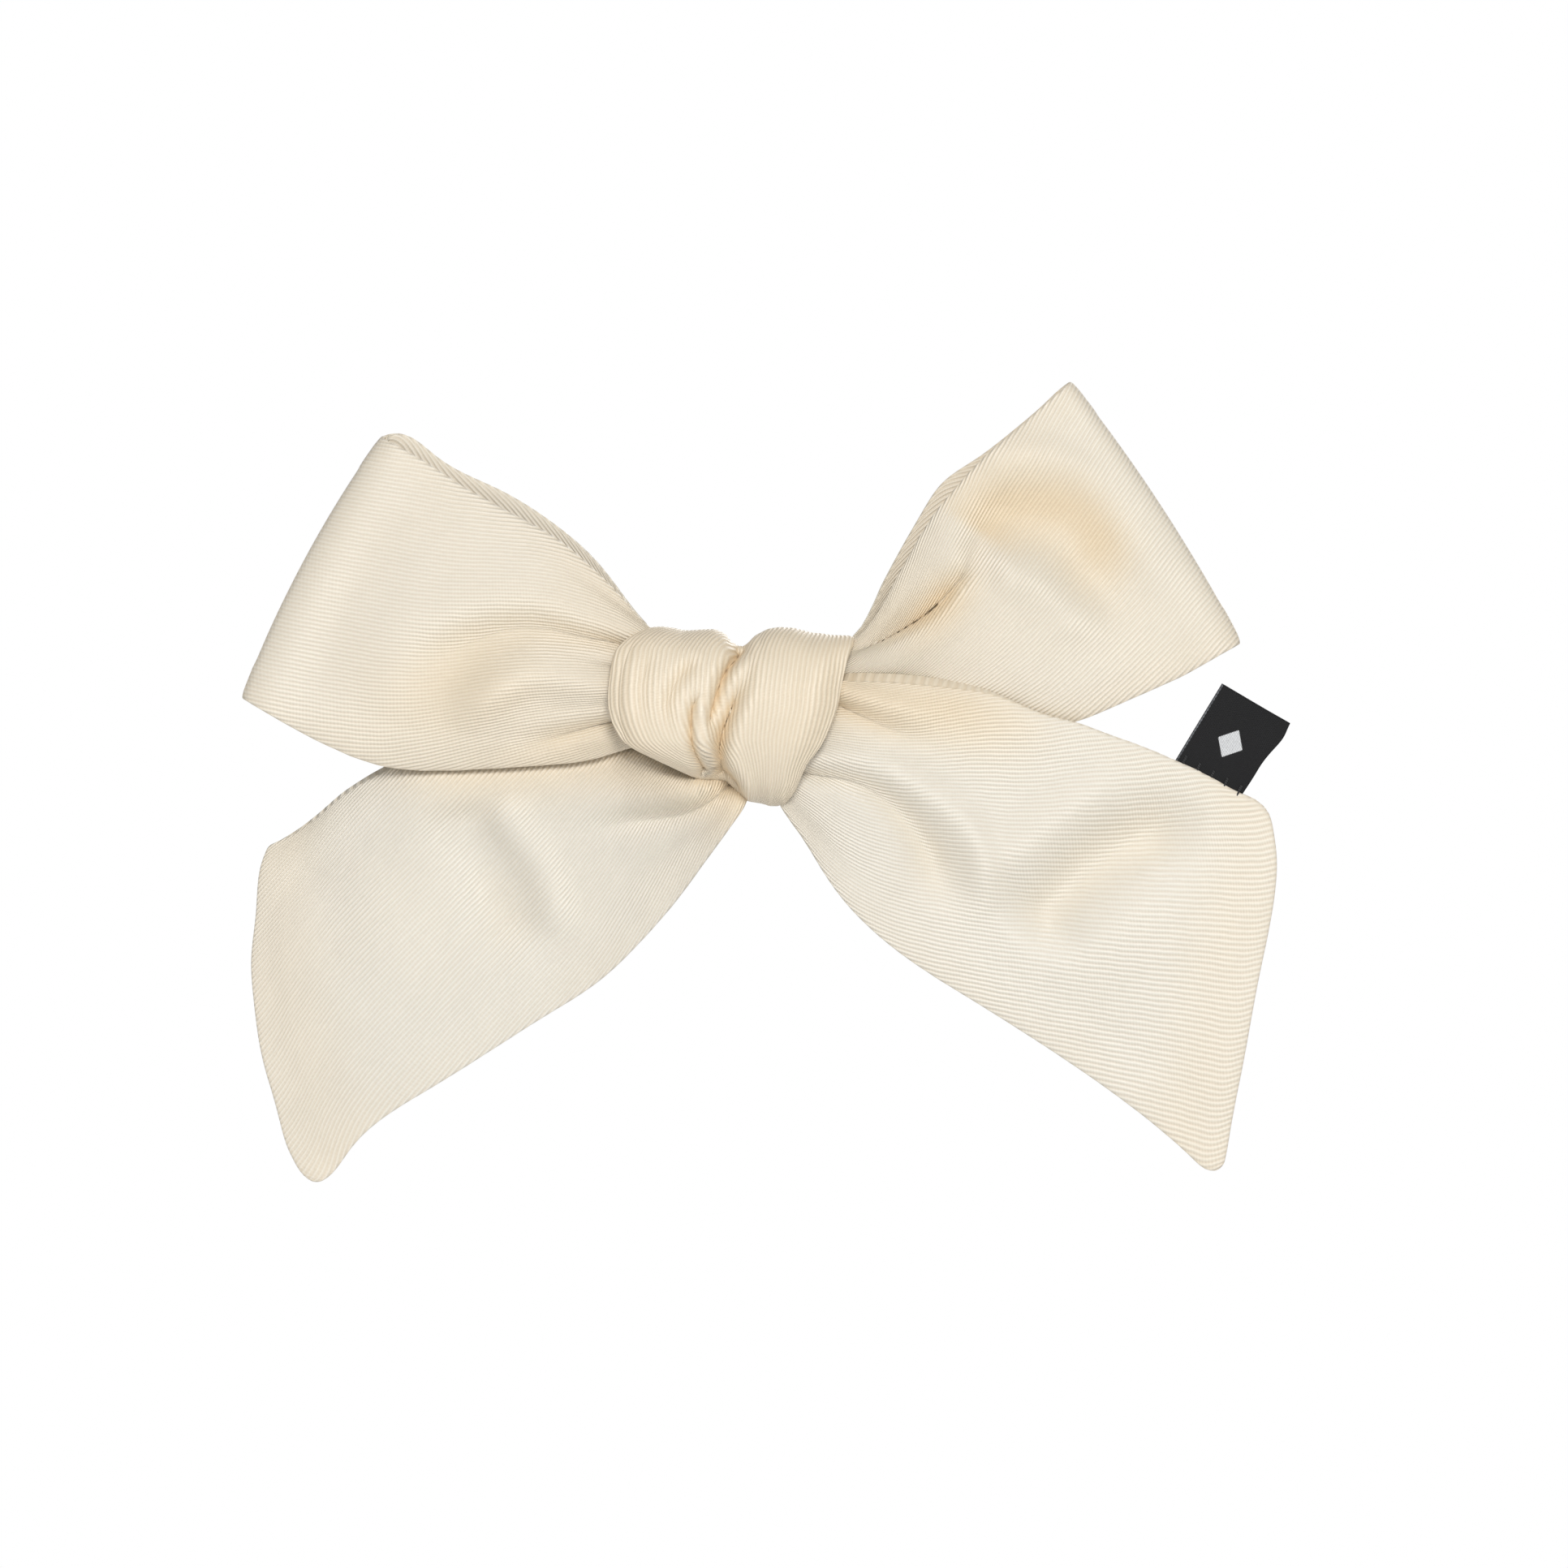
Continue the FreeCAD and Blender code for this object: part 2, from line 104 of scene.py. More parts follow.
def faded(a, start, end):
    """1 along the middle of a line, easing to 0 over its first and last shares."""
    f = smooth(0, start, a) if start else np.ones(np.shape(a))
    return f * (1 - smooth(1 - end, 1, a)) if end else f


def near(points, x, z, n=60):
    """Distance to a line through points, how far along it, and which side."""
    p = np.asarray(points, float)
    d = np.concatenate([[0], np.cumsum(np.linalg.norm(np.diff(p, axis=0), axis=1))])
    q = cubic(d, p, np.linspace(0, d[-1], n)) if len(p) > 2 else np.array([p[0] + (p[-1] - p[0]) * t for t in np.linspace(0, 1, n)])
    best = np.full(x.shape, 1e9)
    along = np.zeros(x.shape)
    side = np.zeros(x.shape)
    for i in range(n - 1):
        a, b = q[i], q[i + 1]
        e = b - a
        l2 = max(e @ e, 1e-12)
        t = np.clip(((x - a[0]) * e[0] + (z - a[1]) * e[1]) / l2, 0, 1)
        dx, dz = x - (a[0] + t * e[0]), z - (a[1] + t * e[1])
        dist = np.hypot(dx, dz)
        m = dist < best
        best = np.where(m, dist, best)
        along = np.where(m, (i + t) / (n - 1), along)
        side = np.where(m, np.sign(e[0] * dz - e[1] * dx), side)
    return best, along, side


def crease(points, x, z, deep, wide, ends=(0.25, 0.35), lip=0.0, lip_side=1, lean=0.0):
    """Depth of a valley along a line; pairs give the value at its start and its end.
    lip raises one bank; lean makes one bank steeper."""
    d, a, s = near(points, x, z)
    fade = faded(a, *ends)
    if isinstance(wide, tuple):
        wide = wide[0] + (wide[1] - wide[0]) * a
    if isinstance(deep, tuple):
        deep = deep[0] + (deep[1] - deep[0]) * a
    w = wide * (1 + lean * s * np.clip(d / (0.4 * wide), 0, 1))
    y = deep * np.exp(-(d / w) ** 2)
    if lip:
        y -= lip * np.exp(-((d - 1.6 * wide) / (1.1 * wide)) ** 2) * (s == lip_side)
    return y * fade


def step(points, x, z, deep, wide, reach, ends, side):
    """A bank: the cloth drops by deep across a line and rises again over reach beyond it."""
    d, a, s = near(points, x, z)
    d = d * s * side
    return deep * smooth(-wide, wide, d) * np.exp(-(np.clip(d, 0, None) / reach) ** 2) * faded(a, *ends)


def soften(y, rounds):
    """The grid's values, smoothed a little."""
    for _ in range(rounds):
        q = np.pad(y, 1, mode="edge")
        y = (q[:-2, 1:-1] + q[2:, 1:-1] + q[1:-1, :-2] + q[1:-1, 2:] + 2 * y) / 6
    return y


def blob(cx, cz, rx, rz, angle, x, z):
    c, s = math.cos(math.radians(angle)), math.sin(math.radians(angle))
    a, b = (x - cx) * c + (z - cz) * s, -(x - cx) * s + (z - cz) * c
    return np.exp(-(a / rx) ** 2 - (b / rz) ** 2)


def waves(x, z, seed, scale, octaves=3):
    """Smooth repeatable noise, about -1 to 1."""
    r = np.random.default_rng(seed)
    out = np.zeros(x.shape)
    amp, total = 1.0, 0.0
    for _ in range(octaves):
        for _ in range(5):
            t, ph = r.uniform(0, math.tau), r.uniform(0, math.tau)
            f = math.tau / scale * r.uniform(0.6, 1.4)
            out += amp * np.sin(f * (x * math.cos(t) + z * math.sin(t)) + ph) / 5
        total += amp
        amp *= 0.5
        scale *= 0.5
    return out * 1.6 / total


# ------------------------------------------------------------------ meshes
def make_mesh(name, verts, faces, uv=None, smooth_shade=True):
    me = bpy.data.meshes.new(name)
    me.from_pydata([tuple(v) for v in (np.asarray(verts) * MM).tolist()], [], faces)
    me.update()
    if uv is not None:
        layer = me.uv_layers.new(name="UVMap")
        idx = np.zeros(len(me.loops), int)
        me.loops.foreach_get("vertex_index", idx)
        layer.data.foreach_set("uv", np.asarray(uv, float)[idx].ravel())
    if smooth_shade:
        me.polygons.foreach_set("use_smooth", [True] * len(me.polygons))
    ob = bpy.data.objects.new(name, me)
    SCENE.collection.objects.link(ob)
    return ob


def grid_normals(p):
    a, b = np.gradient(p, axis=0), np.gradient(p, axis=1)
    n = np.cross(a, b)
    return n / np.maximum(np.linalg.norm(n, axis=2, keepdims=True), 1e-9)


def sample(p, fu, fv):
    """Catmull-Rom sampling of grid p at fractional rows fu and columns fv."""
    def along(q, f):
        n = q.shape[0]
        i = np.clip(np.floor(f).astype(int), 0, n - 2)
        t = (f - i).reshape((-1,) + (1,) * (q.ndim - 1))
        g = lambda k: q[np.clip(i + k, 0, n - 1)]
        p0 = np.where((i == 0).reshape(t.shape), 2 * q[i] - g(1), g(-1))
        p3 = np.where((i == n - 2).reshape(t.shape), 2 * g(1) - q[i], g(2))
        p1, p2 = q[i], g(1)
        return 0.5 * (2 * p1 + (p2 - p0) * t + (2 * p0 - 5 * p1 + 4 * p2 - p3) * t ** 2 + (3 * p1 - p0 - 3 * p2 + p3) * t ** 3)
    a = along(p, fu)
    return np.swapaxes(along(np.swapaxes(a, 0, 1), fv), 0, 1)


def sample_at(p, fu, fv):
    """Catmull-Rom sampling of grid p at scattered rows fu and columns fv."""
    q = np.concatenate([2 * p[:1] - p[1:2], p, 2 * p[-1:] - p[-2:-1]], 0)
    q = np.concatenate([2 * q[:, :1] - q[:, 1:2], q, 2 * q[:, -1:] - q[:, -2:-1]], 1)

    def weights(f, n):
        i = np.clip(np.floor(f).astype(int), 0, n - 2)
        t = f - i
        return i, [0.5 * (-t + 2 * t ** 2 - t ** 3), 0.5 * (2 - 5 * t ** 2 + 3 * t ** 3), 0.5 * (t + 4 * t ** 2 - 3 * t ** 3), 0.5 * (-t ** 2 + t ** 3)]
    i, wu = weights(fu, p.shape[0])
    j, wv = weights(fv, p.shape[1])
    out = 0.0
    for a in range(4):
        for b in range(4):
            out = out + q[i + a, j + b] * (wu[a] * wv[b])[..., None]
    return out


def round_corner(a, b, r):
    """Pull the square corner a < r, b < r onto an arc of radius r."""
    x, y = np.clip(1 - a / r, 0, 1), np.clip(1 - b / r, 0, 1)
    x2, y2 = x * np.sqrt(1 - y * y / 2), y * np.sqrt(1 - x * x / 2)
    return np.where(a < r, r * (1 - x2), a), np.where(b < r, r * (1 - y2), b)


# Profile of one rolled edge of a ply: distance in from the edge, height share.
ROLL = [(0.34, 0.03), (0.15, 0.10), (0.04, 0.26), (0.0, 0.46), (0.05, 0.68), (0.18, 0.86), (0.38, 0.97), (0.62, 1.03)]


def two_ply(name, mid, length, width, hand, end_roll=False, body=0.52, ridge=0.10, seed=1, pucker=0.07, corners=(2.0, 2.0), painted_shade_tone=None, proud=None):
    """Sewn and turned cloth run round the middle surface mid (rows u, columns v).
    Both plies roll over at the long edges and leave the seam's groove between them."""
    nu, nv = mid.shape[:2]
    n = grid_normals(mid)
    lu, lv = length / (nu - 1), width / (nv - 1)
    inner_v = np.arange(1.0, width - 0.999, lv)
    d_v = [r[0] for r in ROLL] + list(inner_v) + [width - r[0] for r in ROLL[::-1]]
    h_v = [r[1] for r in ROLL] + [1.03 - 0.03 * smooth(0.8, 2.5, min(x, width - x)) for x in inner_v] + [r[1] for r in ROLL[::-1]]
    inner_u = np.arange(0.0, length - (1.0 if end_roll else 0) + 1e-6, lu)
    d_u = list(inner_u) + ([length - r[0] for r in ROLL[::-1]] if end_roll else [])
    h_u = [1.0] * len(inner_u) + ([r[1] for r in ROLL[::-1]] if end_roll else [])
    d_v, h_v, d_u, h_u = map(np.array, (d_v, h_v, d_u, h_u))
    du, dv = np.meshgrid(d_u, d_v, indexing="ij")
    su, sv = du, dv
    if end_roll:
        a, b = round_corner(length - su, sv, corners[0])
        su, sv = length - a, b
        a, b = round_corner(length - su, width - sv, corners[1])
        su, sv = length - a, width - b
    fu, fv = np.clip(su / lu, 0, nu - 1), np.clip(sv / lv, 0, nv - 1)
    p, m = sample_at(mid, fu, fv), sample_at(n, fu, fv)
    m /= np.linalg.norm(m, axis=2, keepdims=True)
    from_edge = np.minimum(dv, width - dv)
    if end_roll:
        from_edge = np.minimum(from_edge, length - du)
    # the turned-in allowance lifts a band along the edge
    lift = ridge * (1 - smooth(4.2, 5.6, from_edge)) * smooth(0.2, 1.4, from_edge)
    # small puckers where the seam draws the cloth in
    r = np.random.default_rng(seed)
    ph = np.cumsum(r.uniform(0.6, 1.5, du.shape[0])) * 0.9
    puck = np.zeros(du.shape)
    for side, dist in ((0, dv), (1, width - dv)):
        wob = waves(du, dv * 0.25 + 40 * side, seed + side, 4.2, 2)
        puck += wob * np.exp(-(dist / 2.4) ** 2)
    high = body * np.minimum(h_u[:, None], h_v[None, :]) + lift
    sign = -1.0 if m[:, :, 1].mean() > 0 else 1.0
    verts, faces, uv = [], [], []
    a, b = p.shape[:2]
    idx = []
    for k, up in enumerate((1.0, -1.0)):
        q = p + m * (up * high + pucker * puck)[:, :, None]
        beyond = np.zeros(du.shape)
        if proud is not None and up * m[:, :, 1].mean() > 0:
            out = np.gradient(p, axis=1)
            out /= np.maximum(np.linalg.norm(out, axis=2, keepdims=True), 1e-9)
            beyond = proud(du / length) * (1 - smooth(0.2, 3.2, width - dv))
            q = q + out * beyond[:, :, None]
        verts.append(q.reshape(-1, 3))
        uv.append(np.stack([du, hand * (dv + beyond)], -1).reshape(-1, 2) / 10.0)
        g = np.arange(a * b).reshape(a, b) + k * a * b
        idx.append(g)
        q4 = np.stack([g[:-1, :-1], g[1:, :-1], g[1:, 1:], g[:-1, 1:]], -1).reshape(-1, 4)
        faces += (q4 if up > 0 else q4[:, ::-1]).tolist()
    f, l = idx
    ring_f = np.concatenate([f[:, 0], f[-1, 1:], f[-2::-1, -1], f[0, -2:0:-1]])
    ring_l = np.concatenate([l[:, 0], l[-1, 1:], l[-2::-1, -1], l[0, -2:0:-1]])
    for i in range(len(ring_f)):
        j = (i + 1) % len(ring_f)
        faces.append([int(ring_f[j]), int(ring_f[i]), int(ring_l[i]), int(ring_l[j])])
    ob = make_mesh(name, np.concatenate(verts), faces, np.concatenate(uv))
    # painted warm shade: the cloth is tinted warmer along its edges, where the turned-in allowance lies under it, and
    # towards a hemmed end; the tint is painted, standing in for light passing through the extra layers
    painted_warm_shade = 0.12 * (1 - smooth(1.0, 5.5, np.minimum(dv, width - dv)))
    if end_roll:
        painted_warm_shade = painted_warm_shade + 0.42 * (1 - smooth(4.0, 13.5, length - du))
    # add the run's painted shade tone: painted warm shade in its creases, its dents and near the knot
    painted_warm_shade = painted_warm_shade + (sample_at(painted_shade_tone[..., None], fu, fv)[..., 0] if painted_shade_tone is not None else 0.5)
    att = ob.data.attributes.new("painted_warm_shade", "FLOAT", "POINT")
    att.data.foreach_set("value", np.tile(np.clip(painted_warm_shade, 0, 2.0).ravel(), 2).astype(np.float32))
    return ob, p


def tube(points, radius, sides=8, name=None, twist=0.0, closed_ends=True):
    """A round tube through points; two-lobed when twist is set, as plied thread is."""
    p = np.asarray(points, float)
    t = np.gradient(p, axis=0)
    t /= np.linalg.norm(t, axis=1, keepdims=True)
    up = np.array([0.0, 0.0, 1.0]) if abs(t[0][2]) < 0.9 else np.array([1.0, 0.0, 0.0])
    a = np.cross(t[0], up)
    a /= np.linalg.norm(a)
    rows = []
    s = 0.0
    for i in range(len(p)):
        if i:
            s += np.linalg.norm(p[i] - p[i - 1])
            a = a - (a @ t[i]) * t[i]
            a /= np.linalg.norm(a)
        b = np.cross(t[i], a)
        ang = np.arange(sides) * math.tau / sides
        r = radius * (1 + (0.16 * np.cos(2 * (ang - twist * s)) if twist else 0))
        rows.append(p[i] + (np.cos(ang) * r)[:, None] * a + (np.sin(ang) * r)[:, None] * b)
    v = np.concatenate(rows + [[p[0]], [p[-1]]])
    n = len(p)
    f = []
    for i in range(n - 1):
        for j in range(sides):
            k = (j + 1) % sides
            f.append([i * sides + j, i * sides + k, (i + 1) * sides + k, (i + 1) * sides + j])
    c0, c1 = n * sides, n * sides + 1
    for j in range(sides):
        k = (j + 1) % sides
        f.append([c0, k, j])
        f.append([c1, (n - 1) * sides + j, (n - 1) * sides + k])
    return v, f


def join_parts(name, parts):
    verts, faces, base = [], [], 0
    for v, f in parts:
        verts.append(v)
        faces += [[base + i for i in q] for q in f]
        base += len(v)
    return make_mesh(name, np.concatenate(verts), faces)


# ------------------------------------------------------------------ shading
class Mat:
    """Small helper for node materials."""

    def __init__(self, name):
        self.m = bpy.data.materials.new(name)
        self.m.use_nodes = True
        self.t = self.m.node_tree
        self.bsdf = next(n for n in self.t.nodes if n.type == "BSDF_PRINCIPLED")

    def node(self, kind, **props):
        n = self.t.nodes.new(kind)
        for k, v in props.items():
            setattr(n, k, v)
        return n

    def link(self, a, b):
        self.t.links.new(a, b)

    def math(self, op, a, b=None, c=None, clamp=False):
        n = self.node("ShaderNodeMath", operation=op, use_clamp=clamp)
        for i, x in enumerate((a, b, c)):
            if x is None:
                continue
            if isinstance(x, (int, float)):
                n.inputs[i].default_value = x
            else:
                self.link(x, n.inputs[i])
        return n.outputs[0]

    def noise(self, vector, scale, detail=3.0, rough=0.5, distortion=0.0):
        n = self.node("ShaderNodeTexNoise")
        n.inputs["Scale"].default_value = scale
        n.inputs["Detail"].default_value = detail
        n.inputs["Roughness"].default_value = rough
        n.inputs["Distortion"].default_value = distortion
        self.link(vector, n.inputs["Vector"])
        return n.outputs["Fac"]

    def ramp(self, fac, stops):
        n = self.node("ShaderNodeValToRGB")
        cr = n.color_ramp
        while len(cr.elements) < len(stops):
            cr.elements.new(0.5)
        for e, (pos, col) in zip(cr.elements, stops):
            e.position, e.color = pos, (*col, 1)
        self.link(fac, n.inputs["Fac"])
        return n.outputs["Color"]

    def mix(self, fac, a, b, mode="MIX"):
        n = self.node("ShaderNodeMix", data_type="RGBA", blend_type=mode)
        for sock, x in ((n.inputs[0], fac), (n.inputs[6], a), (n.inputs[7], b)):
            if isinstance(x, (int, float)):
                sock.default_value = x
            elif isinstance(x, tuple):
                sock.default_value = (*x, 1)
            else:
                self.link(x, sock)
        return n.outputs[2]

    def bump(self, height, strength, distance, normal=None):
        n = self.node("ShaderNodeBump")
        n.inputs["Strength"].default_value = strength
        n.inputs["Distance"].default_value = distance
        self.link(height, n.inputs["Height"])
        if normal is not None:
            self.link(normal, n.inputs["Normal"])
        return n.outputs["Normal"]

    def set(self, **vals):
        for k, v in vals.items():
            s = self.bsdf.inputs[k.replace("_", " ")]
            s.default_value = (*v, 1) if isinstance(v, tuple) else v


def uv_mm(m):
    uv = m.node("ShaderNodeUVMap", uv_map="UVMap")
    sx = m.node("ShaderNodeSeparateXYZ")
    m.link(uv.outputs["UV"], sx.inputs[0])
    return uv.outputs["UV"], m.math("MULTIPLY", sx.outputs[0], 10.0), m.math("MULTIPLY", sx.outputs[1], 10.0)


def object_mm(m):
    tc = m.node("ShaderNodeTexCoord")
    mp = m.node("ShaderNodeMapping")
    mp.inputs["Scale"].default_value = (1000, 1000, 1000)
    m.link(tc.outputs["Object"], mp.inputs["Vector"])
    return mp.outputs["Vector"]


def twill(name, cool, painted_warm_shade, deep, dark, pitch=0.52, pick=0.34, angle=23.0, bump=0.9):
    """Ribbed twill: fine diagonal ribs with picks across, slubs and a soft sheen."""
    m = Mat(name)
    uv, u, v = uv_mm(m)
    pos = object_mm(m)
    wob = m.noise(uv, 3.0, 2.0)
    c, s = math.cos(math.radians(angle)), math.sin(math.radians(angle))
    across = m.math("SUBTRACT", m.math("MULTIPLY", v, c), m.math("MULTIPLY", u, s))
    across = m.math("ADD", across, m.math("MULTIPLY", wob, 0.24))
    rib = m.math("MULTIPLY_ADD", m.math("SINE", m.math("MULTIPLY", across, math.tau / pitch)), 0.5, 0.5)
    picks = m.math("MULTIPLY_ADD", m.math("SINE", m.math("ADD", m.math("MULTIPLY", u, math.tau / pick), m.math("MULTIPLY", across, math.pi / pitch))), 0.5, 0.5)
    # along some stretches the picks show more than the ribs
    where = m.math("MULTIPLY_ADD", m.noise(uv, 0.9, 1.0), 1.3, -0.25, clamp=True)
    height = m.math("ADD", m.math("MULTIPLY", rib, m.math("MULTIPLY_ADD", where, -0.26, 0.92)),
                    m.math("MULTIPLY", picks, m.math("MULTIPLY_ADD", where, 0.19, 0.06)))
    slub = m.noise(uv, 14.0, 3.0)
    big = m.noise(pos, 0.05, 2.0)
    # the per-point attribute carries painted shade: the colour goes from the cloth's own colour to a warm painted shade
    # and on to a deep painted shade in creases, dents and under other layers; the large noise adds random tone
    att = m.node("ShaderNodeAttribute", attribute_name="painted_warm_shade")
    painted_shade_and_tone = m.math("ADD", att.outputs["Fac"], m.math("MULTIPLY_ADD", big, 0.4, -0.2))
    top = m.mix(m.math("MULTIPLY", painted_shade_and_tone, 1.0, clamp=True), cool, painted_warm_shade)
    top = m.mix(m.math("SUBTRACT", painted_shade_and_tone, 1.0, clamp=True), top, deep)
    # the grooves between ribs get a darker, warmer colour: partly the weave's own pattern, partly painted shade in the
    # grooves
    base = m.mix(m.math("MULTIPLY_ADD", height, -0.55, 0.42, clamp=True), top, dark, "MULTIPLY")
    tint = m.mix(m.math("MULTIPLY_ADD", slub, 0.9, -0.3, clamp=True), base, (0.955, 0.95, 0.94), "MULTIPLY")
    m.link(tint, m.bsdf.inputs["Base Color"])
    rough = m.math("MULTIPLY_ADD", height, -0.10, 0.56)
    m.link(rough, m.bsdf.inputs["Roughness"])
    fine = m.bump(height, bump, 0.00012)
    soft = m.bump(m.noise(uv, 2.2, 3.0), 0.25, 0.0002, fine)
    m.link(soft, m.bsdf.inputs["Normal"])
    m.set(Sheen_Weight=0.12, Sheen_Roughness=0.4, Sheen_Tint=(1.0, 0.97, 0.9), Specular_IOR_Level=1.0, IOR=1.5)
    return m.m


def thread_mat(name, col, dark):
    m = Mat(name)
    pos = object_mm(m)
    w = m.node("ShaderNodeTexWave", wave_type="BANDS", bands_direction="DIAGONAL")
    w.inputs["Scale"].default_value = 1.6
    w.inputs["Distortion"].default_value = 1.0
    m.link(pos, w.inputs["Vector"])
    base = m.ramp(w.outputs["Fac"], [(0.0, dark), (1.0, col)])
    fuzz = m.noise(pos, 6.0, 4.0)
    m.link(m.mix(m.math("MULTIPLY", fuzz, 0.25), base, dark), m.bsdf.inputs["Base Color"])
    m.link(m.bump(w.outputs["Fac"], 0.6, 0.00005), m.bsdf.inputs["Normal"])
    m.link(m.math("MULTIPLY_ADD", fuzz, 0.2, 0.5), m.bsdf.inputs["Roughness"])
    m.set(Sheen_Weight=0.3, Sheen_Roughness=0.4, Specular_IOR_Level=0.4)
    return m.m


def metal(name, col, rough, brush, scale=(1.0, 30.0, 30.0), wear=0.3):
    """Plated sheet: fine drawing lines, faint smudges and softer worn patches."""
    m = Mat(name)
    tc = m.node("ShaderNodeTexCoord")
    mp = m.node("ShaderNodeMapping")
    mp.inputs["Scale"].default_value = tuple(1000 * 0.2 * s for s in scale)
    m.link(tc.outputs["Object"], mp.inputs["Vector"])
    lines = m.noise(mp.outputs["Vector"], 1.0, 4.0, 0.6)
    pos = object_mm(m)
    smudge = m.noise(pos, 0.35, 4.0, 0.55)
    spots = m.noise(pos, 2.5, 2.0, 0.5)
    base = m.ramp(lines, [(0.2, tuple(x * 0.9 for x in col)), (0.8, col)])
    base = m.mix(m.math("MULTIPLY", smudge, wear), base, tuple(x * 0.78 for x in col))
    m.link(base, m.bsdf.inputs["Base Color"])
    r = m.math("ADD", m.math("MULTIPLY_ADD", smudge, 0.18, rough - 0.06), m.math("MULTIPLY", lines, 0.08))
    m.link(r, m.bsdf.inputs["Roughness"])
    m.link(m.bump(lines, brush, 0.00002, m.bump(spots, 0.1, 0.00004)), m.bsdf.inputs["Normal"])
    m.set(Metallic=1.0, Anisotropic=0.3)
    return m.m


def felt_mat(name, col, dark):
    m = Mat(name)
    pos = object_mm(m)
    a = m.noise(pos, 2.6, 6.0, 0.7, 0.8)
    b = m.noise(pos, 0.3, 2.0)
    base = m.ramp(a, [(0.3, dark), (0.62, col)])
    m.link(m.mix(m.math("MULTIPLY", b, 0.3), base, dark), m.bsdf.inputs["Base Color"])
    m.link(m.bump(a, 0.8, 0.00025), m.bsdf.inputs["Normal"])
    m.link(m.math("MULTIPLY_ADD", a, 0.1, 0.85), m.bsdf.inputs["Roughness"])
    m.set(Sheen_Weight=0.6, Sheen_Roughness=0.6, Specular_IOR_Level=0.1)
    return m.m


def grosgrain_mat(name, col, dark):
    m = Mat(name)
    uv, u, v = uv_mm(m)
    ribs = m.math("MULTIPLY_ADD", m.math("SINE", m.math("MULTIPLY", u, math.tau / 0.6)), 0.5, 0.5)
    warp = m.math("MULTIPLY_ADD", m.math("SINE", m.math("MULTIPLY", v, math.tau / 0.22)), 0.5, 0.5)
    h = m.math("ADD", m.math("MULTIPLY", ribs, 0.8), m.math("MULTIPLY", warp, 0.2))
    fuzz = m.noise(object_mm(m), 4.0, 3.0)
    m.link(m.mix(m.math("MULTIPLY", fuzz, 0.2), m.ramp(h, [(0.0, dark), (0.7, col)]), dark), m.bsdf.inputs["Base Color"])
    m.link(m.bump(h, 0.8, 0.00015), m.bsdf.inputs["Normal"])
    m.link(m.math("MULTIPLY_ADD", h, -0.1, 0.6), m.bsdf.inputs["Roughness"])
    m.set(Sheen_Weight=0.3, Sheen_Roughness=0.4, Specular_IOR_Level=0.3)
    return m.m


def label_mat(name):
    """Black damask tape with fine ends and picks, bright selvedges and a plain woven lozenge."""
    m = Mat(name)
    uv, u, v = uv_mm(m)          # u across the tape, v from the seam to the fold
    warp = m.math("MULTIPLY_ADD", m.math("SINE", m.math("MULTIPLY", u, math.tau / 0.16)), 0.5, 0.5)
    weft = m.math("MULTIPLY_ADD", m.math("SINE", m.math("ADD", m.math("MULTIPLY", v, math.tau / 0.2), m.math("MULTIPLY", u, math.pi / 0.16))), 0.5, 0.5)
    h = m.math("ADD", m.math("MULTIPLY", warp, 0.5), m.math("MULTIPLY", weft, 0.5))
    fuzz = m.noise(uv, 30.0, 4.0, 0.6)
    black = m.ramp(m.math("ADD", m.math("MULTIPLY", h, 0.6), m.math("MULTIPLY", fuzz, 0.4)), [(0.2, (0.006, 0.006, 0.0065)), (0.8, (0.020, 0.020, 0.021))])
    # lozenge: |u - c| / a + |v - d| / b < 1, with stepped woven sides
    su = m.math("MULTIPLY", m.math("ROUND", m.math("DIVIDE", u, 0.12)), 0.12)
    sv = m.math("MULTIPLY", m.math("ROUND", m.math("DIVIDE", v, 0.12)), 0.12)
    f = m.math("ADD", m.math("DIVIDE", m.math("ABSOLUTE", m.math("SUBTRACT", su, 4.85)), 1.75),
               m.math("DIVIDE", m.math("ABSOLUTE", m.math("SUBTRACT", sv, 4.4)), 1.75))
    inside = m.math("LESS_THAN", f, 1.0)
    white = m.ramp(m.math("ADD", m.math("MULTIPLY", weft, 0.5), m.math("MULTIPLY", fuzz, 0.5)), [(0.2, (0.42, 0.43, 0.44)), (0.75, (0.82, 0.83, 0.84))])
    col = m.mix(inside, black, white)
    # lighter threads along the selvedge: partly the frayed threads' own colour, partly a painted highlight for the
    # glossy edge
    loops = m.math("MULTIPLY_ADD", m.math("SINE", m.math("MULTIPLY", v, math.tau / 0.42)), 0.035, 0.085)
    near_edge = m.math("LESS_THAN", m.math("ABSOLUTE", m.math("SUBTRACT", u, 0.15)), loops)
    sel = m.math("MULTIPLY", near_edge, m.math("MULTIPLY_ADD", m.noise(uv, 3.0, 2.0, 0.5), 1.6, -0.35, clamp=True))
    col = m.mix(m.math("MULTIPLY", sel, 0.6), col, (0.46, 0.48, 0.52))
    m.link(col, m.bsdf.inputs["Base Color"])
    m.link(m.bump(m.math("ADD", h, m.math("MULTIPLY", inside, 0.8)), 0.7, 0.00006), m.bsdf.inputs["Normal"])
    m.link(m.math("MULTIPLY_ADD", fuzz, 0.2, 0.42), m.bsdf.inputs["Roughness"])
    m.set(Sheen_Weight=0.015, Sheen_Roughness=0.3, Specular_IOR_Level=0.16)
    return m.m


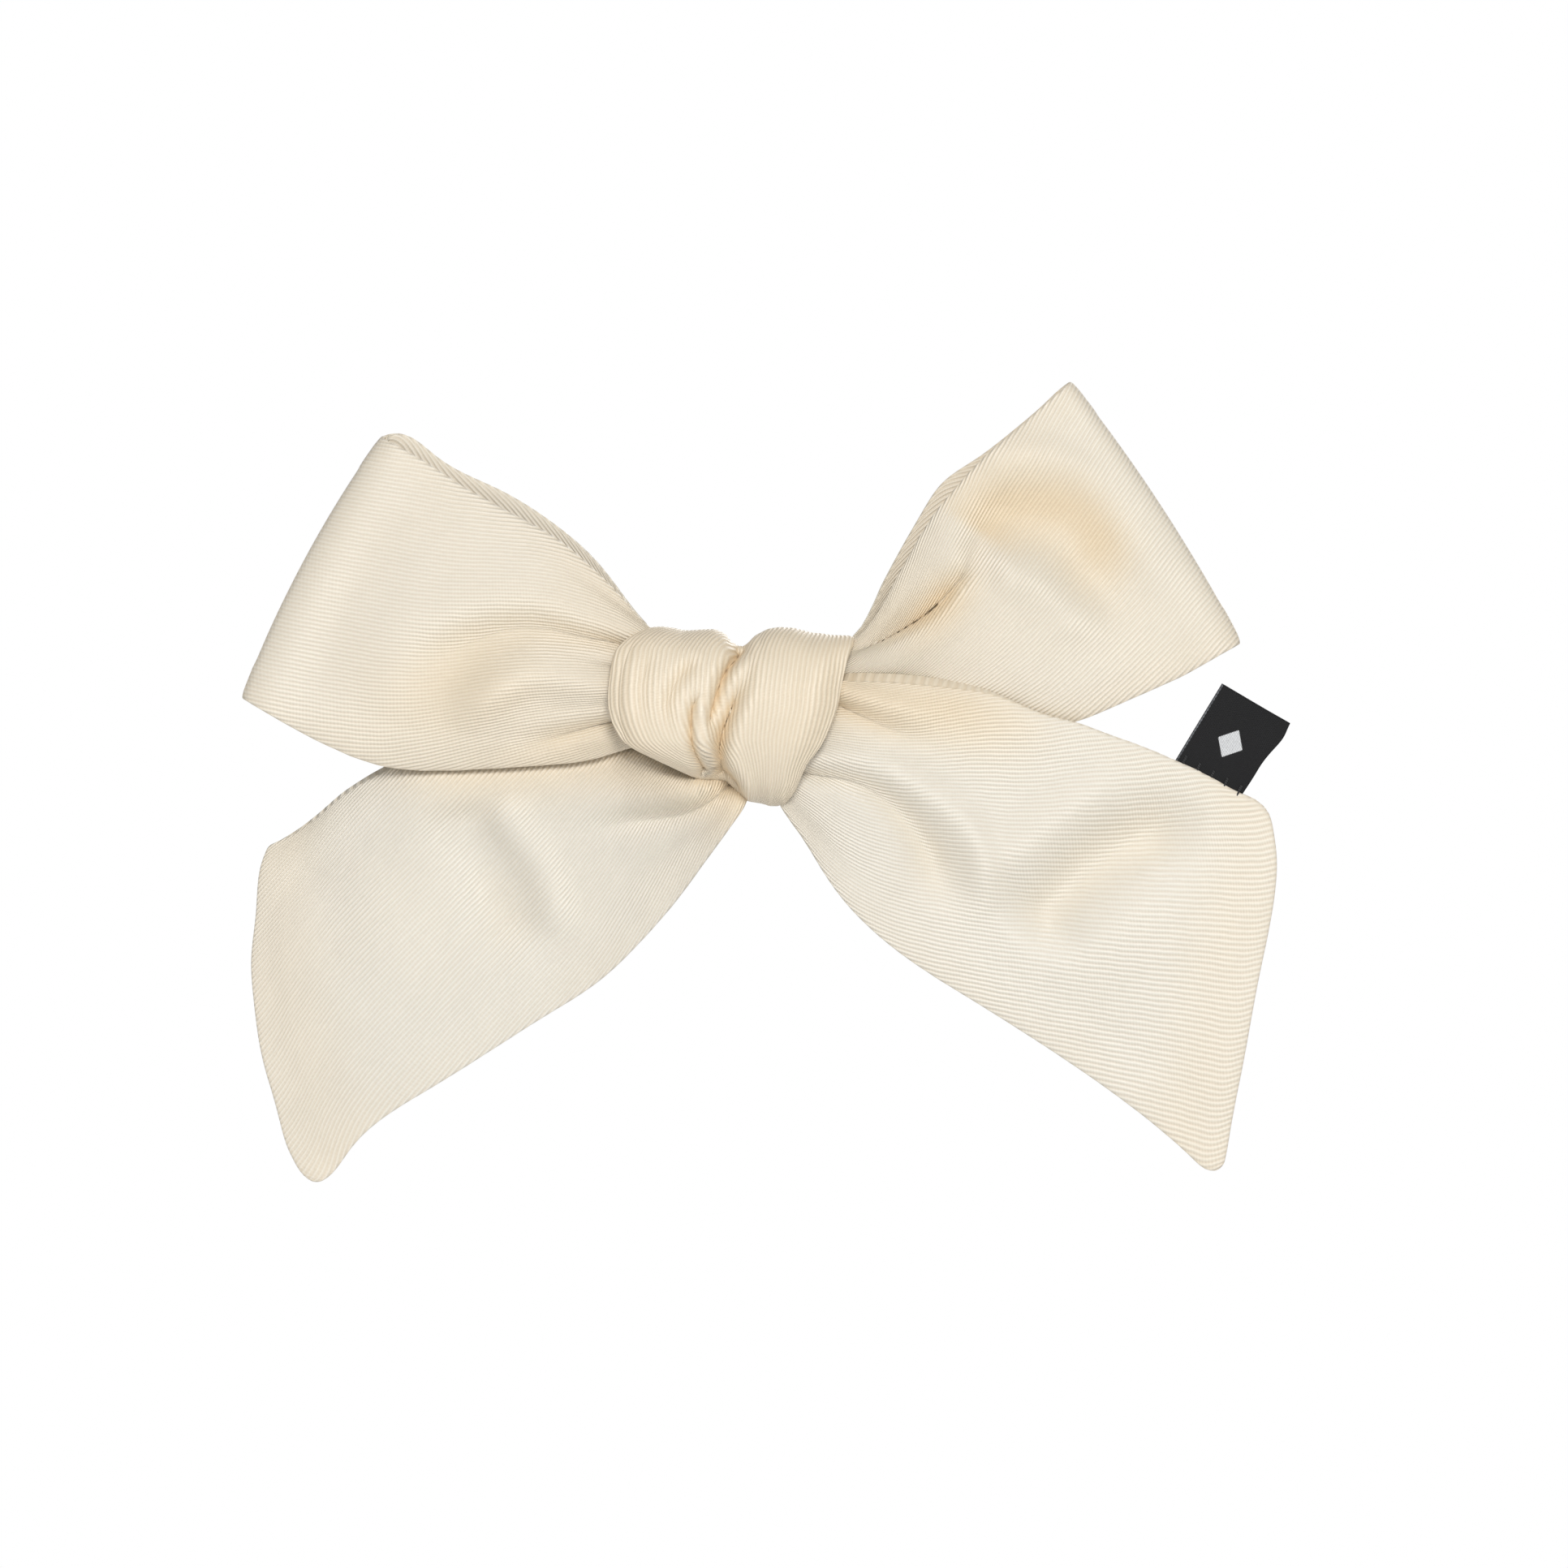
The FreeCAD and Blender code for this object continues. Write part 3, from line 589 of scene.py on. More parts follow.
# COOL is the cloth's own colour; the next two colours are painted shade, the warm tint and deeper brown the cloth is
# given in creases, dents, near the knot and under other layers
COOL = (0.850, 0.808, 0.715)
WARM_PAINTED_SHADE = (0.868, 0.770, 0.612)
DEEP_PAINTED_SHADE = (0.845, 0.700, 0.495)
M_SASH = twill("sash_twill", COOL, WARM_PAINTED_SHADE, DEEP_PAINTED_SHADE, (0.78, 0.69, 0.565))
M_WRAP = twill("sash_twill_knot", COOL, WARM_PAINTED_SHADE, DEEP_PAINTED_SHADE, (0.78, 0.69, 0.565), pitch=0.56, angle=3.0, bump=0.85)
M_THREAD = thread_mat("cream_thread_mat", (0.85, 0.80, 0.68), (0.62, 0.56, 0.44))
M_BLACK = thread_mat("black_thread_mat", (0.03, 0.03, 0.032), (0.008, 0.008, 0.008))
M_LABEL = label_mat("label_tape_mat")
M_FELT = felt_mat("felt_mat", (0.80, 0.75, 0.63), (0.62, 0.57, 0.46))
M_RIBBON = grosgrain_mat("lining_ribbon_mat", (0.84, 0.79, 0.67), (0.60, 0.55, 0.44))
M_CLIP = metal("clip_nickel", (0.74, 0.73, 0.71), 0.26, 0.35)
M_PIN = metal("pin_steel_mat", (0.62, 0.62, 0.61), 0.34, 0.5, (30, 30, 1))
M_SPRING = metal("spring_wire_mat", (0.52, 0.52, 0.53), 0.30, 0.4, (12, 12, 12), 0.5)


def finish_piece(ob, mat, body, slot, *nodes):
    ob.data.materials.clear()
    ob.data.materials.append(mat)
    if body:
        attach(ob, body)
    if nodes:
        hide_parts(*nodes)
    return ob


# ------------------------------------------------------------------ the runs
def run_surface(low, high, nu, nv, width):
    """Middle surface between two edges, rows along the run."""
    u = np.linspace(0, 1, nu)
    a, b = low(u), high(u)
    v = np.linspace(0, 1, nv)[None, :, None]
    return a[:, None] * (1 - v) + b[:, None] * v, u[:, None] * np.ones((1, nv)), v[:, :, 0] * np.ones((nu, 1))


def hump(v):
    return 4 * v * (1 - v)


def end_edge(p, v, u, line, y, blend):
    """Bend the last rows so that the run ends along line, given from the low to the high edge."""
    q = np.array(line, float)
    d = np.concatenate([[0], np.cumsum(np.linalg.norm(np.diff(q, axis=0), axis=1))])
    q = cubic(d / d[-1], q, v[-1])
    goal = seen(q[:, 0], q[:, 1], np.linspace(y[0], y[1], len(q)))
    move = goal - p[-1]
    move[:, 1] = 0
    return p + move[None] * (smooth(blend, 1.0, u) ** 1.3)[..., None]


def plan(p):
    """Where the camera sees the points, on the bow's own plane."""
    s = (p[..., 1] - CAM[1]) / REACH
    return CAM[0] + (p[..., 0] - CAM[0]) / s, CAM[2] + (p[..., 2] - CAM[2]) / s


STEP = 0.62


def left_loop():
    high = edge([(-6.0, -16.0, 7.6), (-9.8, -16.6, 10.4), (-12.8, -16.8, 13.7), (-16.5, -16.6, 17.4), (-20.9, -16.2, 21.1), (-26.5, -15.7, 24.4),
                 (-33.1, -15.1, 28.1), (-39.0, -14.5, 31.9), (-42.0, -14.1, 33.5), (-42.6, -13.2, 34.0), (-41.6, -12.4, 34.5), (-36.1, -11.8, 31.7),
                 (-28.7, -11.6, 27.8), (-22.0, -11.9, 23.7), (-15.4, -13.0, 17.6), (-11.0, -14.0, 11.8), (-6.0, -14.6, 7.4)], apex=9)
    low = edge([(-6.0, -16.4, -3.0), (-9.8, -16.6, -3.6), (-13.2, -16.2, -4.3), (-16.5, -15.5, -5.3), (-21.3, -14.8, -6.0), (-28.7, -14.2, -6.5),
                (-36.1, -13.9, -6.8), (-42.8, -13.8, -6.3), (-47.9, -13.9, -4.6), (-54.2, -14.0, -1.5), (-59.2, -13.9, 1.4), (-59.9, -13.1, 1.9),
                (-59.1, -12.3, 1.7), (-53.5, -11.7, -0.7), (-47.0, -11.3, -3.4), (-36.1, -11.2, -5.4), (-24.0, -11.9, -4.8), (-12.0, -14.0, -3.4), (-6.0, -14.8, -2.4)], apex=11)
    length, width = 92.0, 38.0
    nu, nv = int(length / STEP), int(width / STEP)
    p, u, v = run_surface(low, high, nu, nv, width)
    fold = np.exp(-((u - 0.5) / 0.10) ** 2)
    p[..., 0] += -1.15 * hump(v) * fold
    p[..., 2] += 0.5 * hump(v) * fold
    p[..., 1] += -3.0 * hump(v) ** 0.8 * np.sin(np.clip(2 * u, 0, 1) * math.pi) * (u < 0.5)
    x, z = plan(p)
    front = smooth(0.485, 0.42, u)
    y = crease([(-10.5, 6.6), (-12.8, 8.2), (-18.3, 9.5), (-24.0, 10.6), (-28.6, 10.0), (-33.4, 8.0), (-38.0, 5.0), (-41.0, 1.4)], x, z, (1.5, 2.5), (0.8, 4.4), (0.02, 0.4), 0.4, 1, 0.15)
    y -= crease([(-11.0, 2.8), (-19.0, 4.0), (-23.0, 4.5), (-29.7, 2.2), (-35.3, -1.6)], x, z, (0.8, 1.7), (1.6, 2.6), (0.05, 0.35))
    y += crease([(-11.0, -0.2), (-15.0, -0.9), (-18.3, -1.6), (-23.0, -2.7), (-29.0, -3.8)], x, z, (1.2, 0.9), (0.7, 1.6), (0.02, 0.6), 0.4, -1)
    y += crease([(-10.0, 5.0), (-17.0, 6.4), (-23.0, 7.6)], x, z, 0.45, 0.9, (0.02, 0.7))
    y += crease([(-8.6, 9.4), (-15.4, 14.0), (-20.0, 17.2), (-24.0, 19.4)], x, z, 0.6, (0.9, 1.8), (0.02, 0.6))
    y += 0.35 * blob(-49.5, 12.5, 3.4, 9.0, -28, x, z)
    y += 0.18 * waves(x, z, 11, 15.0, 3)
    p[..., 1] += y * front
    back = smooth(0.53, 0.60, u)
    yb = crease([(-12, 5), (-22, 9), (-32, 12)], x, z, -0.8, 1.6, (0.05, 0.6)) + crease([(-12, 0), (-24, 2), (-30, 2)], x, z, -0.7, 1.4, (0.05, 0.6))
    p[..., 1] += yb * back + 0.15 * waves(x, z, 12, 19.0, 2) * back
    # the last value is painted shade tone: a warmer base than the tails', more near the knot, in the creases by their
    # depth, and painted patches of shade on the front in the dent and along the lower crease
    return p, length, width, 0.42 + 0.40 * (1 - smooth(0.05, 0.34, u)) + (0.12 * np.clip(y, 0, 2.5) + 0.8 * blob(-33.5, 2.8, 10.0, 6.2, 20, x, z) + 0.5 * blob(-20.0, -3.6, 9.0, 2.2, 10, x, z)) * front


def right_loop():
    high = edge([(7.6, -15.6, 7.2), (11.5, -17.0, 8.0), (15.0, -17.4, 9.0), (17.4, -17.3, 11.2), (19.6, -17.0, 14.8), (22.5, -16.5, 20.1), (25.0, -16.1, 24.3), (27.9, -15.7, 28.0),
                 (31.4, -15.2, 31.7), (35.6, -14.7, 35.3), (39.6, -14.1, 38.9), (41.3, -13.8, 40.4), (41.6, -13.0, 40.8), (41.0, -12.3, 40.4), (38.6, -11.6, 38.2), (35.0, -11.1, 35.1),
                 (30.0, -10.7, 31.3), (26.1, -10.5, 28.5), (23.8, -10.7, 25.2), (20.7, -11.2, 19.8), (18.2, -11.9, 14.8), (15.4, -12.6, 9.8), (11.5, -12.8, 7.4), (7.6, -12.8, 6.4)], apex=12)
    low = edge([(7.6, -14.0, -3.5), (14.0, -14.1, -4.0), (22.0, -14.1, -3.6), (30.0, -14.2, -2.8), (37.0, -14.4, -2.0), (43.2, -14.6, -0.6), (49.3, -14.6, 1.9),
                (56.4, -14.2, 5.1), (61.8, -13.8, 8.1), (62.6, -12.9, 8.7), (62.1, -12.2, 8.9), (58.0, -11.4, 7.0), (50.0, -10.5, 3.4), (42.0, -9.9, 0.4), (30.0, -9.6, -2.0), (20.0, -10.4, -3.0), (12.0, -12.0, -3.2), (7.6, -12.8, -2.6)], apex=9)
    length, width = 96.0, 38.0
    nu, nv = int(length / STEP), int(width / STEP)
    p, u, v = run_surface(low, high, nu, nv, width)
    fold = np.exp(-((u - 0.5) / 0.09) ** 2)
    p[..., 0] += 0.75 * hump(v) * fold
    p[..., 2] += 0.55 * hump(v) * fold
    p[..., 1] += -2.2 * hump(v) ** 0.8 * np.sin(np.clip(2 * u, 0, 1) * math.pi) * (u < 0.5)
    x, z = plan(p)
    front = smooth(0.487, 0.43, u)
    # the dark hollow where the front folds over itself beside the knot
    y = crease([(10.5, 5.0), (14.7, 6.8), (18.5, 8.0), (22.3, 10.0), (25.6, 12.2), (28.4, 15.0)], x, z, (0.3, 0.6), (0.9, 1.2), (0.02, 0.25), 0.2, -1, 0.25)
    y += step([(12.5, 6.2), (14.7, 6.8), (18.5, 8.2), (22.3, 10.2), (25.6, 12.6), (28.6, 15.6), (30.4, 18.0)], x, z, 2.7, 0.8, 3.4, (0.50, 0.24), 1)
    y += crease([(28.0, 15.4), (29.2, 18.4), (29.6, 21.5), (28.9, 24.3)], x, z, (1.1, 0.6), (1.3, 2.0), (0.15, 0.4))
    # the dent arches round a raised middle
    y += soften(step([(28.2, 22.6), (31.9, 26.0), (37.0, 26.4), (41.2, 25.4), (43.7, 22.6), (45.2, 19.0), (47.4, 15.2), (48.9, 11.0), (48.2, 7.4)], x, z, 4.2, 3.5, 6.0, (0.08, 0.34), -1), 30)
    y -= crease([(28.0, 29.4), (33.0, 31.4), (38.4, 31.8), (43.8, 30.6), (48.4, 26.6), (51.4, 21.6), (54.6, 16.0), (56.0, 11.0)], x, z, (0.9, 0.7), 2.4, (0.15, 0.3))
    y -= crease([(31.2, 16.6), (35.5, 17.4), (39.5, 15.0), (43.0, 11.6), (44.0, 7.6)], x, z, 1.5, 3.2, (0.2, 0.3))
    y += crease([(11.0, 1.4), (20.0, 4.4), (28.0, 6.4)], x, z, 0.35, 1.2, (0.02, 0.6))
    y += crease([(13.0, 7.0), (19.0, 14.2), (21.4, 19.0), (24.0, 24.0)], x, z, 0.55, 1.0, (0.02, 0.5))
    y += 0.18 * waves(x, z, 21, 15.0, 3)
    p[..., 1] += y * front
    back = smooth(0.525, 0.58, u)
    yb = crease([(14, 5), (24, 12), (32, 18)], x, z, -0.8, 1.6, (0.05, 0.6)) + crease([(14, 1), (26, 4), (36, 6)], x, z, -0.6, 1.6, (0.05, 0.6))
    p[..., 1] += (yb + 0.15 * waves(x, z, 22, 19.0, 2)) * back
    # the last value is painted shade tone: a warmer base, more near the knot, in the creases by their depth, a painted
    # arch of shade along the dent's bank and a painted patch of shade in the hollow beside the knot, all on the front,
    # and more over the back half
    return p, length, width, 0.46 + 0.28 * (1 - smooth(0.05, 0.34, u)) + (0.14 * np.clip(y, 0, 2.6) + 1.3 * crease([(29.6, 22.0), (33.2, 25.8), (38.4, 26.4), (43.6, 24.6), (46.4, 19.9), (48.8, 14.0)], x, z, 1.0, 4.2, (0.05, 0.3)) + 1.5 * blob(25.8, 13.2, 5.0, 2.6, 42, x, z)) * front + 0.35 * (u > 0.5)


def left_tail():
    high = edge([(-7.0, -12.8, 3.4), (-10.5, -12.4, 3.0), (-16.0, -11.2, 1.6), (-28.0, -9.9, -1.2), (-36.0, -9.5, -3.9), (-42.5, -9.2, -7.1), (-48.0, -9.0, -10.4), (-52.3, -8.9, -13.9), (-56.9, -8.9, -16.3)])
    low = edge([(3.4, -14.4, -4.6), (3.0, -14.4, -8.0), (1.8, -14.2, -11.0), (-0.2, -13.7, -14.2), (-2.2, -13.2, -16.9), (-6.3, -12.2, -22.5), (-11.9, -11.2, -28.9), (-16.1, -10.6, -32.8), (-22.5, -10.0, -37.0),
                (-29.0, -9.5, -41.1), (-37.5, -9.1, -46.4), (-43.9, -8.8, -50.6), (-46.9, -8.7, -53.7), (-49.8, -8.6, -57.2), (-51.0, -8.6, -57.9)])
    length, width = 62.0, 38.0
    nu, nv = int(length / STEP), int(width / STEP)
    p, u, v = run_surface(low, high, nu, nv, width)
    p = end_edge(p, v, u, [(-51.0, -57.9), (-52.5, -56.9), (-53.7, -55.2), (-54.6, -53.3), (-55.9, -48.6), (-57.6, -42.6), (-58.6, -36.2), (-59.0, -30.2),
                           (-58.4, -24.2), (-57.7, -18.2), (-56.9, -16.2)], (-8.6, -8.9), 0.35)
    x, z = plan(p)
    y = crease([(2.5, -6.6), (0.1, -8.7), (-6.3, -12.0), (-16.1, -13.5), (-20.4, -15.2)], x, z, 1.3, (0.9, 1.8), (0.02, 0.45), 0.6, -1)
    y += crease([(2.4, -9.0), (-5.0, -15.2), (-12.0, -20.4), (-18.0, -25.0)], x, z, 0.5, 1.6, (0.05, 0.6))
    y += crease([(-34.0, -9.5), (-33.0, -13.5), (-30.0, -19.6), (-27.0, -26.6), (-24.0, -31.0)], x, z, (1.2, 1.3), 4.2, (0.15, 0.3))
    y -= crease([(-28.2, -9.4), (-27.4, -12.6), (-24.0, -17.7), (-21.4, -25.0), (-19.8, -29.0)], x, z, (1.2, 1.5), 2.3, (0.15, 0.3))
    y -= 1.6 * blob(-44, -31, 13, 14, 0, x, z) * smooth(0.2, 0.7, u)
    y += 0.5 * blob(-49.0, -25.0, 3.0, 8.0, 12, x, z)
    # below the loop the cloth comes forward to rest against the loop's lower edge
    y += soften(step([(3.4, -10.6), (0.0, -9.2), (-3.0, -8.1), (-7.3, -6.6), (-10.5, -4.7), (-13.2, -4.2), (-16.5, -4.9), (-21.3, -5.6), (-28.7, -6.1), (-36.1, -6.4), (-42.8, -5.9), (-47.9, -4.2)],
                     x, z, -3.3, 0.9, 10.0, (0.04, 0.22), 1), 3)
    y -= 1.5 * blob(-7.0, -8.2, 6.5, 2.6, -30, x, z)
    y += 0.2 * waves(x, z, 31, 15.0, 3)
    p[..., 1] += y
    # the last value is painted shade tone: more near the knot, in the creases by their depth, and a painted band of
    # shade under the loop's lower edge
    return p, length, width, 0.05 + 0.45 * (1 - smooth(0.0, 0.35, u)) + 0.16 * np.clip(y, 0, 2.5) + 0.9 * crease([(2, -10), (-6, -7.2), (-14, -5.6), (-26, -6.3), (-36, -6.6), (-46, -6)], x, z, 1.3, 4.2, (0, 0.3))


def right_tail():
    high = edge([(8.0, -17.6, 3.6), (11.0, -18.2, 4.0), (13.9, -18.5, 4.1), (20.7, -18.2, 3.9), (27.9, -17.7, 3.2), (32.1, -17.5, 2.5), (35.7, -17.3, 1.2), (39.3, -17.1, -0.2),
                 (42.5, -16.9, -1.0), (46.1, -16.7, -2.3), (50.3, -16.5, -3.8), (54.9, -16.2, -5.7), (59.0, -15.9, -7.6), (62.9, -15.6, -9.7), (65.4, -15.4, -10.7)])
    low = edge([(6.0, -16.6, -7.0), (5.6, -16.6, -9.6), (6.6, -16.4, -12.0), (8.6, -16.0, -14.8), (12.0, -15.2, -20.3), (16.6, -14.1, -25.8), (22.1, -13.0, -30.3), (29.3, -11.9, -34.9),
                (37.7, -11.0, -40.2), (46.1, -10.4, -45.9), (52.4, -10.1, -50.7), (57.0, -10.0, -54.8), (58.7, -10.0, -56.1), (60.6, -10.0, -56.3)])
    length, width = 64.0, 38.0
    nu, nv = int(length / STEP), int(width / STEP)
    p, u, v = run_surface(low, high, nu, nv, width)
    p = end_edge(p, v, u, [(60.6, -56.3), (61.0, -54.6), (61.7, -50.6), (63.3, -42.2), (65.0, -32.9), (66.3, -26.6), (67.1, -21.6), (67.3, -18.2), (66.9, -14.4),
                           (66.1, -11.7), (65.4, -10.7)], (-10.0, -15.4), 0.35)
    x, z = plan(p)
    y = crease([(9.0, 3.0), (13.8, 1.0), (16.6, -0.2), (19.9, -1.6), (23.2, -2.6), (28.0, -3.2)], x, z, (1.3, 0.9), (0.8, 1.8), (0.02, 0.5), 0.5, 1)
    y += crease([(7.0, -6.4), (10.0, -7.3), (14.7, -8.0), (19.0, -10.2), (22.4, -13.6), (24.8, -17.4), (26.4, -21.4), (27.0, -25.0)], x, z, (1.3, 2.4), (0.9, 3.0), (0.02, 0.3), 0.3, 1)
    y -= crease([(16.0, -5.6), (20.0, -7.2), (24.2, -9.6), (28.0, -12.6), (30.6, -16.4), (31.6, -21.4), (31.4, -26.0)], x, z, (0.5, 1.6), (1.4, 2.4), (0.2, 0.3))
    y += crease([(35.4, -28.4), (37.0, -26.4), (41.2, -21.6), (46.6, -17.2), (53.6, -14.0), (60.0, -13.0)], x, z, (3.7, 2.9), (4.6, 4.1), (0.2, 0.3))
    y -= crease([(33.0, -20.0), (38.0, -15.0), (44.0, -10.6), (51.0, -7.4)], x, z, 1.0, 3.0, (0.2, 0.3))
    y -= crease([(31.0, -35.0), (37.0, -31.6), (47.8, -24.5), (61.0, -17.4)], x, z, 0.4, 4.4, (0.2, 0.3))
    y += crease([(5.0, -7.0), (9.0, -12.0), (13.0, -16.5), (18.0, -22.5)], x, z, 0.6, 1.6, (0.05, 0.6))
    y -= 1.3 * blob(46, -26, 17, 11, -35, x, z)
    y += 0.2 * waves(x, z, 41, 15.0, 3)
    p[..., 1] += y
    # the last value is painted shade tone: more near the knot, in the creases by their depth, and a painted band of
    # shade along the top edge beside the knot
    return p, length, width, 0.08 + 0.12 * np.clip(y, 0, 3) + 1.5 * crease([(8, 4), (16, 2.0), (24, 1.0), (34, -1.4), (44, -4.0)], x, z, 1.0, 4.6, (0, 0.5)) + 0.3 * (1 - smooth(0.0, 0.25, u))


# Angle round the X axis, left X, right X, radius in Z (degrees; 0 faces the front)
WRAP = [(-172, -5.6, 7.6, 10.0), (-158, -4.2, 7.6, 10.3), (-142, -0.8, 7.2, 10.6), (-125, 1.6, 6.6, 11.0), (-108, 1.2, 6.0, 11.2), (-96, -0.8, 5.8, 11.2), (-85, -3.2, 6.2, 11.2), (-74, -4.4, 7.2, 11.2), (-62, -5.5, 8.0, 11.0),
        (-52, -6.5, 8.7, 10.8), (-42, -7.9, 9.3, 10.4), (-33, -9.9, 10.2, 10.2), (-26, -11.7, 10.9, 10.2), (-19, -13.3, 11.5, 10.3), (-6, -14.5, 12.5, 10.4),
        (5, -15.0, 13.2, 10.5), (18, -14.95, 13.6, 10.5), (34, -14.6, 14.1, 10.5), (50, -14.1, 14.6, 10.7), (65, -12.4, 15.0, 10.8), (80, -10.4, 15.3, 10.9),
        (95, -9.7, 14.8, 10.8), (120, -9.2, 12.6, 10.5), (150, -8.0, 10.2, 10.2), (172, -7.2, 9.0, 10.0)]
TOP = [(-15, 10.6), (-9.6, 10.75), (-8.3, 10.75), (-5.9, 10.3), (-3.5, 10.45), (-2.0, 10.5), (-1.0, 10.1), (-0.2, 9.1), (0.8, 8.5), (1.6, 8.4), (2.3, 8.8), (3.3, 9.8), (4.8, 10.5), (6.2, 10.75), (7.7, 10.7), (9.9, 10.1), (12.3, 9.7), (15.5, 9.6)]


BOTTOM = [(-15, 9.0), (-8, 8.7), (-4.4, 8.3), (-3, 8.2), (-1.3, 8.1), (-0.3, 8.3), (0.5, 9.1), (1.4, 10.1), (2.4, 10.8), (3.8, 11.0), (5.0, 11.3), (6.5, 11.3), (7.4, 10.9), (8.4, 10.0), (9.6, 9.0), (15, 8.0)]


def knot():
    a = np.array(WRAP)
    nphi, nv = 190, 118
    ang = np.linspace(-172, 172, nphi)
    xl, xr, rz = (np.interp(ang, a[:, 0], a[:, i]) for i in (1, 2, 3))
    k = np.exp(-np.linspace(-2, 2, 9) ** 2)
    k /= k.sum()
    xl, xr, rz = (np.convolve(np.pad(q, 4, mode="edge"), k, mode="valid") for q in (xl, xr, rz))
    v = np.linspace(0, 1, nv)
    x = xl[:, None] + (xr - xl)[:, None] * v
    r = np.radians(ang)[:, None]
    face = np.clip(np.cos(r), 0, 1)
    t = np.array(TOP)
    top = np.interp(x, t[:, 0], t[:, 1])
    up = smooth(0.25, 0.95, np.sin(r))
    z_r = (rz[:, None] * (1 - up) + top * up) - 0.5
    t = np.array(BOTTOM)
    down = smooth(0.3, 0.95, -np.sin(r)) * smooth(-0.6, 0.0, np.cos(r))
    z_r = z_r * (1 - down) + (np.interp(x, t[:, 0], t[:, 1]) - 0.5) * down
    # two lobes with a valley between them, falling away at both edges
    mid = -1.6 + 2.4 * smooth(-9, 9, z_r * np.sin(r))
    ry = 7.0 - 1.5 * np.exp(-((x - mid) / 1.9) ** 2) * face ** 0.5
    ry += 0.5 * np.exp(-((x - 6.6) / 4.6) ** 2) * face + 0.15 * np.exp(-((x + 9.0) / 3.6) ** 2) * face
    ry -= 1.9 * np.exp(-((x - xl[:, None]) / 1.9) ** 2) * face + 2.6 * np.exp(-((xr[:, None] - x) / 2.3) ** 2) * face
    sq = 1.12
    y = -15.4 - ry * np.sign(np.cos(r)) * np.abs(np.cos(r)) ** (1 / sq)
    z = z_r * np.sign(np.sin(r)) * np.abs(np.sin(r)) ** (1 / 1.02)
    p = np.stack([x, y, z], -1)
    px, pz = plan(p)
    f = smooth(0.05, 0.35, np.cos(r)) * np.ones_like(x)
    dip = crease([(1.5, 9.0), (1.4, 8.2), (-0.1, 5.8), (-1.3, 3.3), (-2.0, 1.1), (-2.7, -1.0), (-3.2, -2.7)], px, pz, 2.2, 0.8, (0.0, 0.3), 0.6, 1, 0.0)
    dip += crease([(-3.6, 3.0), (-4.7, 0.4), (-4.8, -1.8), (-4.6, -3.9), (-3.7, -5.9), (-3.0, -7.2)], px, pz, 1.8, 0.7, (0.3, 0.05), 0.5, 1)
    dip += crease([(1.9, 4.6), (1.1, 3.1), (-0.1, 0.4), (-0.9, -2.0), (-1.3, -4.4), (-1.0, -6.6), (0.2, -8.6), (1.0, -10.4)], px, pz, (1.6, 2.0), 1.05, (0.3, 0.0), 0.5, 1)
    dip += crease([(-4.0, 7.4), (-4.4, 6.7), (-6.4, 4.1), (-7.6, 1.4), (-7.3, -1.2), (-6.2, -3.4)], px, pz, 0.65, 1.0, (0.2, 0.5))
    dip += crease([(-9.4, 8.8), (-10.4, 5.0), (-10.6, 1.0), (-9.6, -2.8)], px, pz, 0.35, 0.9, (0.3, 0.4))
    dip += crease([(3.0, 9.4), (2.6, 6.0), (1.9, 2.0), (1.6, -2.0)], px, pz, 0.25, 0.8, (0.2, 0.5))
    dip += crease([(8.6, 8.8), (8.8, 4.0), (7.8, -1.0), (6.4, -6.0)], px, pz, 0.22, 1.4, (0.3, 0.4))
    # the left edge is rolled over; a groove runs beside it
    dip += crease([(-11.5, 8.9), (-11.9, 8.2), (-12.9, 6.0), (-13.4, 1.9), (-13.0, -1.8), (-12.0, -3.6)], px, pz, 0.17, 0.4, (0.1, 0.15), 0.04, -1)
    y2 = dip * f
    n = grid_normals(p)
    n *= -1 if n[nphi // 2, nv // 2, 1] > 0 else 1
    p = p - n * y2[..., None] * 0.35
    p[..., 1] += y2 * 0.75
    # pulled tight at the back and below
    b = 1 - smooth(-0.75, -0.2, np.cos(r))
    p -= n * (0.35 * np.sin(v[None, :] * math.tau * 5 + 1.5 * np.sin(r)) * b)[..., None] * 0.8
    p += n * (0.07 * waves(x, z, 51, 7.0, 2))[..., None]
    # the last value is painted shade tone: the whole knot warmer than the runs, more in its creases by their depth
    return p, 57.0, 28.0, 1.15 + 0.55 * np.clip(y2, 0, 2.0)


PROUD = {"right_tail": lambda t: 1.05 * (1 - smooth(0.22, 0.50, t)), "left_tail": lambda t: 0.7 * smooth(0.35, 0.6, t) * (1 - smooth(0.88, 0.99, t))}
runs = {}
for name, make, hand, rolled, seed in (("left_loop", left_loop, -1, False, 3), ("right_loop", right_loop, 1, False, 5),
                                       ("left_tail", left_tail, -1, True, 7), ("right_tail", right_tail, 1, True, 9)):
    mid, length, width, painted_shade_tone = make()
    ob, grid = two_ply(name, mid, length, width, hand, rolled, seed=seed, corners=(0.8, 0.5) if name == "left_tail" else (1.1, 1.5), painted_shade_tone=painted_shade_tone, proud=PROUD.get(name))
    finish_piece(ob, M_SASH, "bow", "sash_cloth", name + "_face_ply", name + "_lining_ply")
    runs[name] = (ob, grid)

mid, length, width, painted_shade_tone = knot()
ob, grid = two_ply("knot_wrap", mid, length, width, -1, False, body=0.5, ridge=0.05, seed=13, pucker=0.04, painted_shade_tone=painted_shade_tone)
finish_piece(ob, M_WRAP, "bow", "sash_cloth", "knot_wrap_face_ply", "knot_wrap_lining_ply")
runs["knot_wrap"] = (ob, grid)

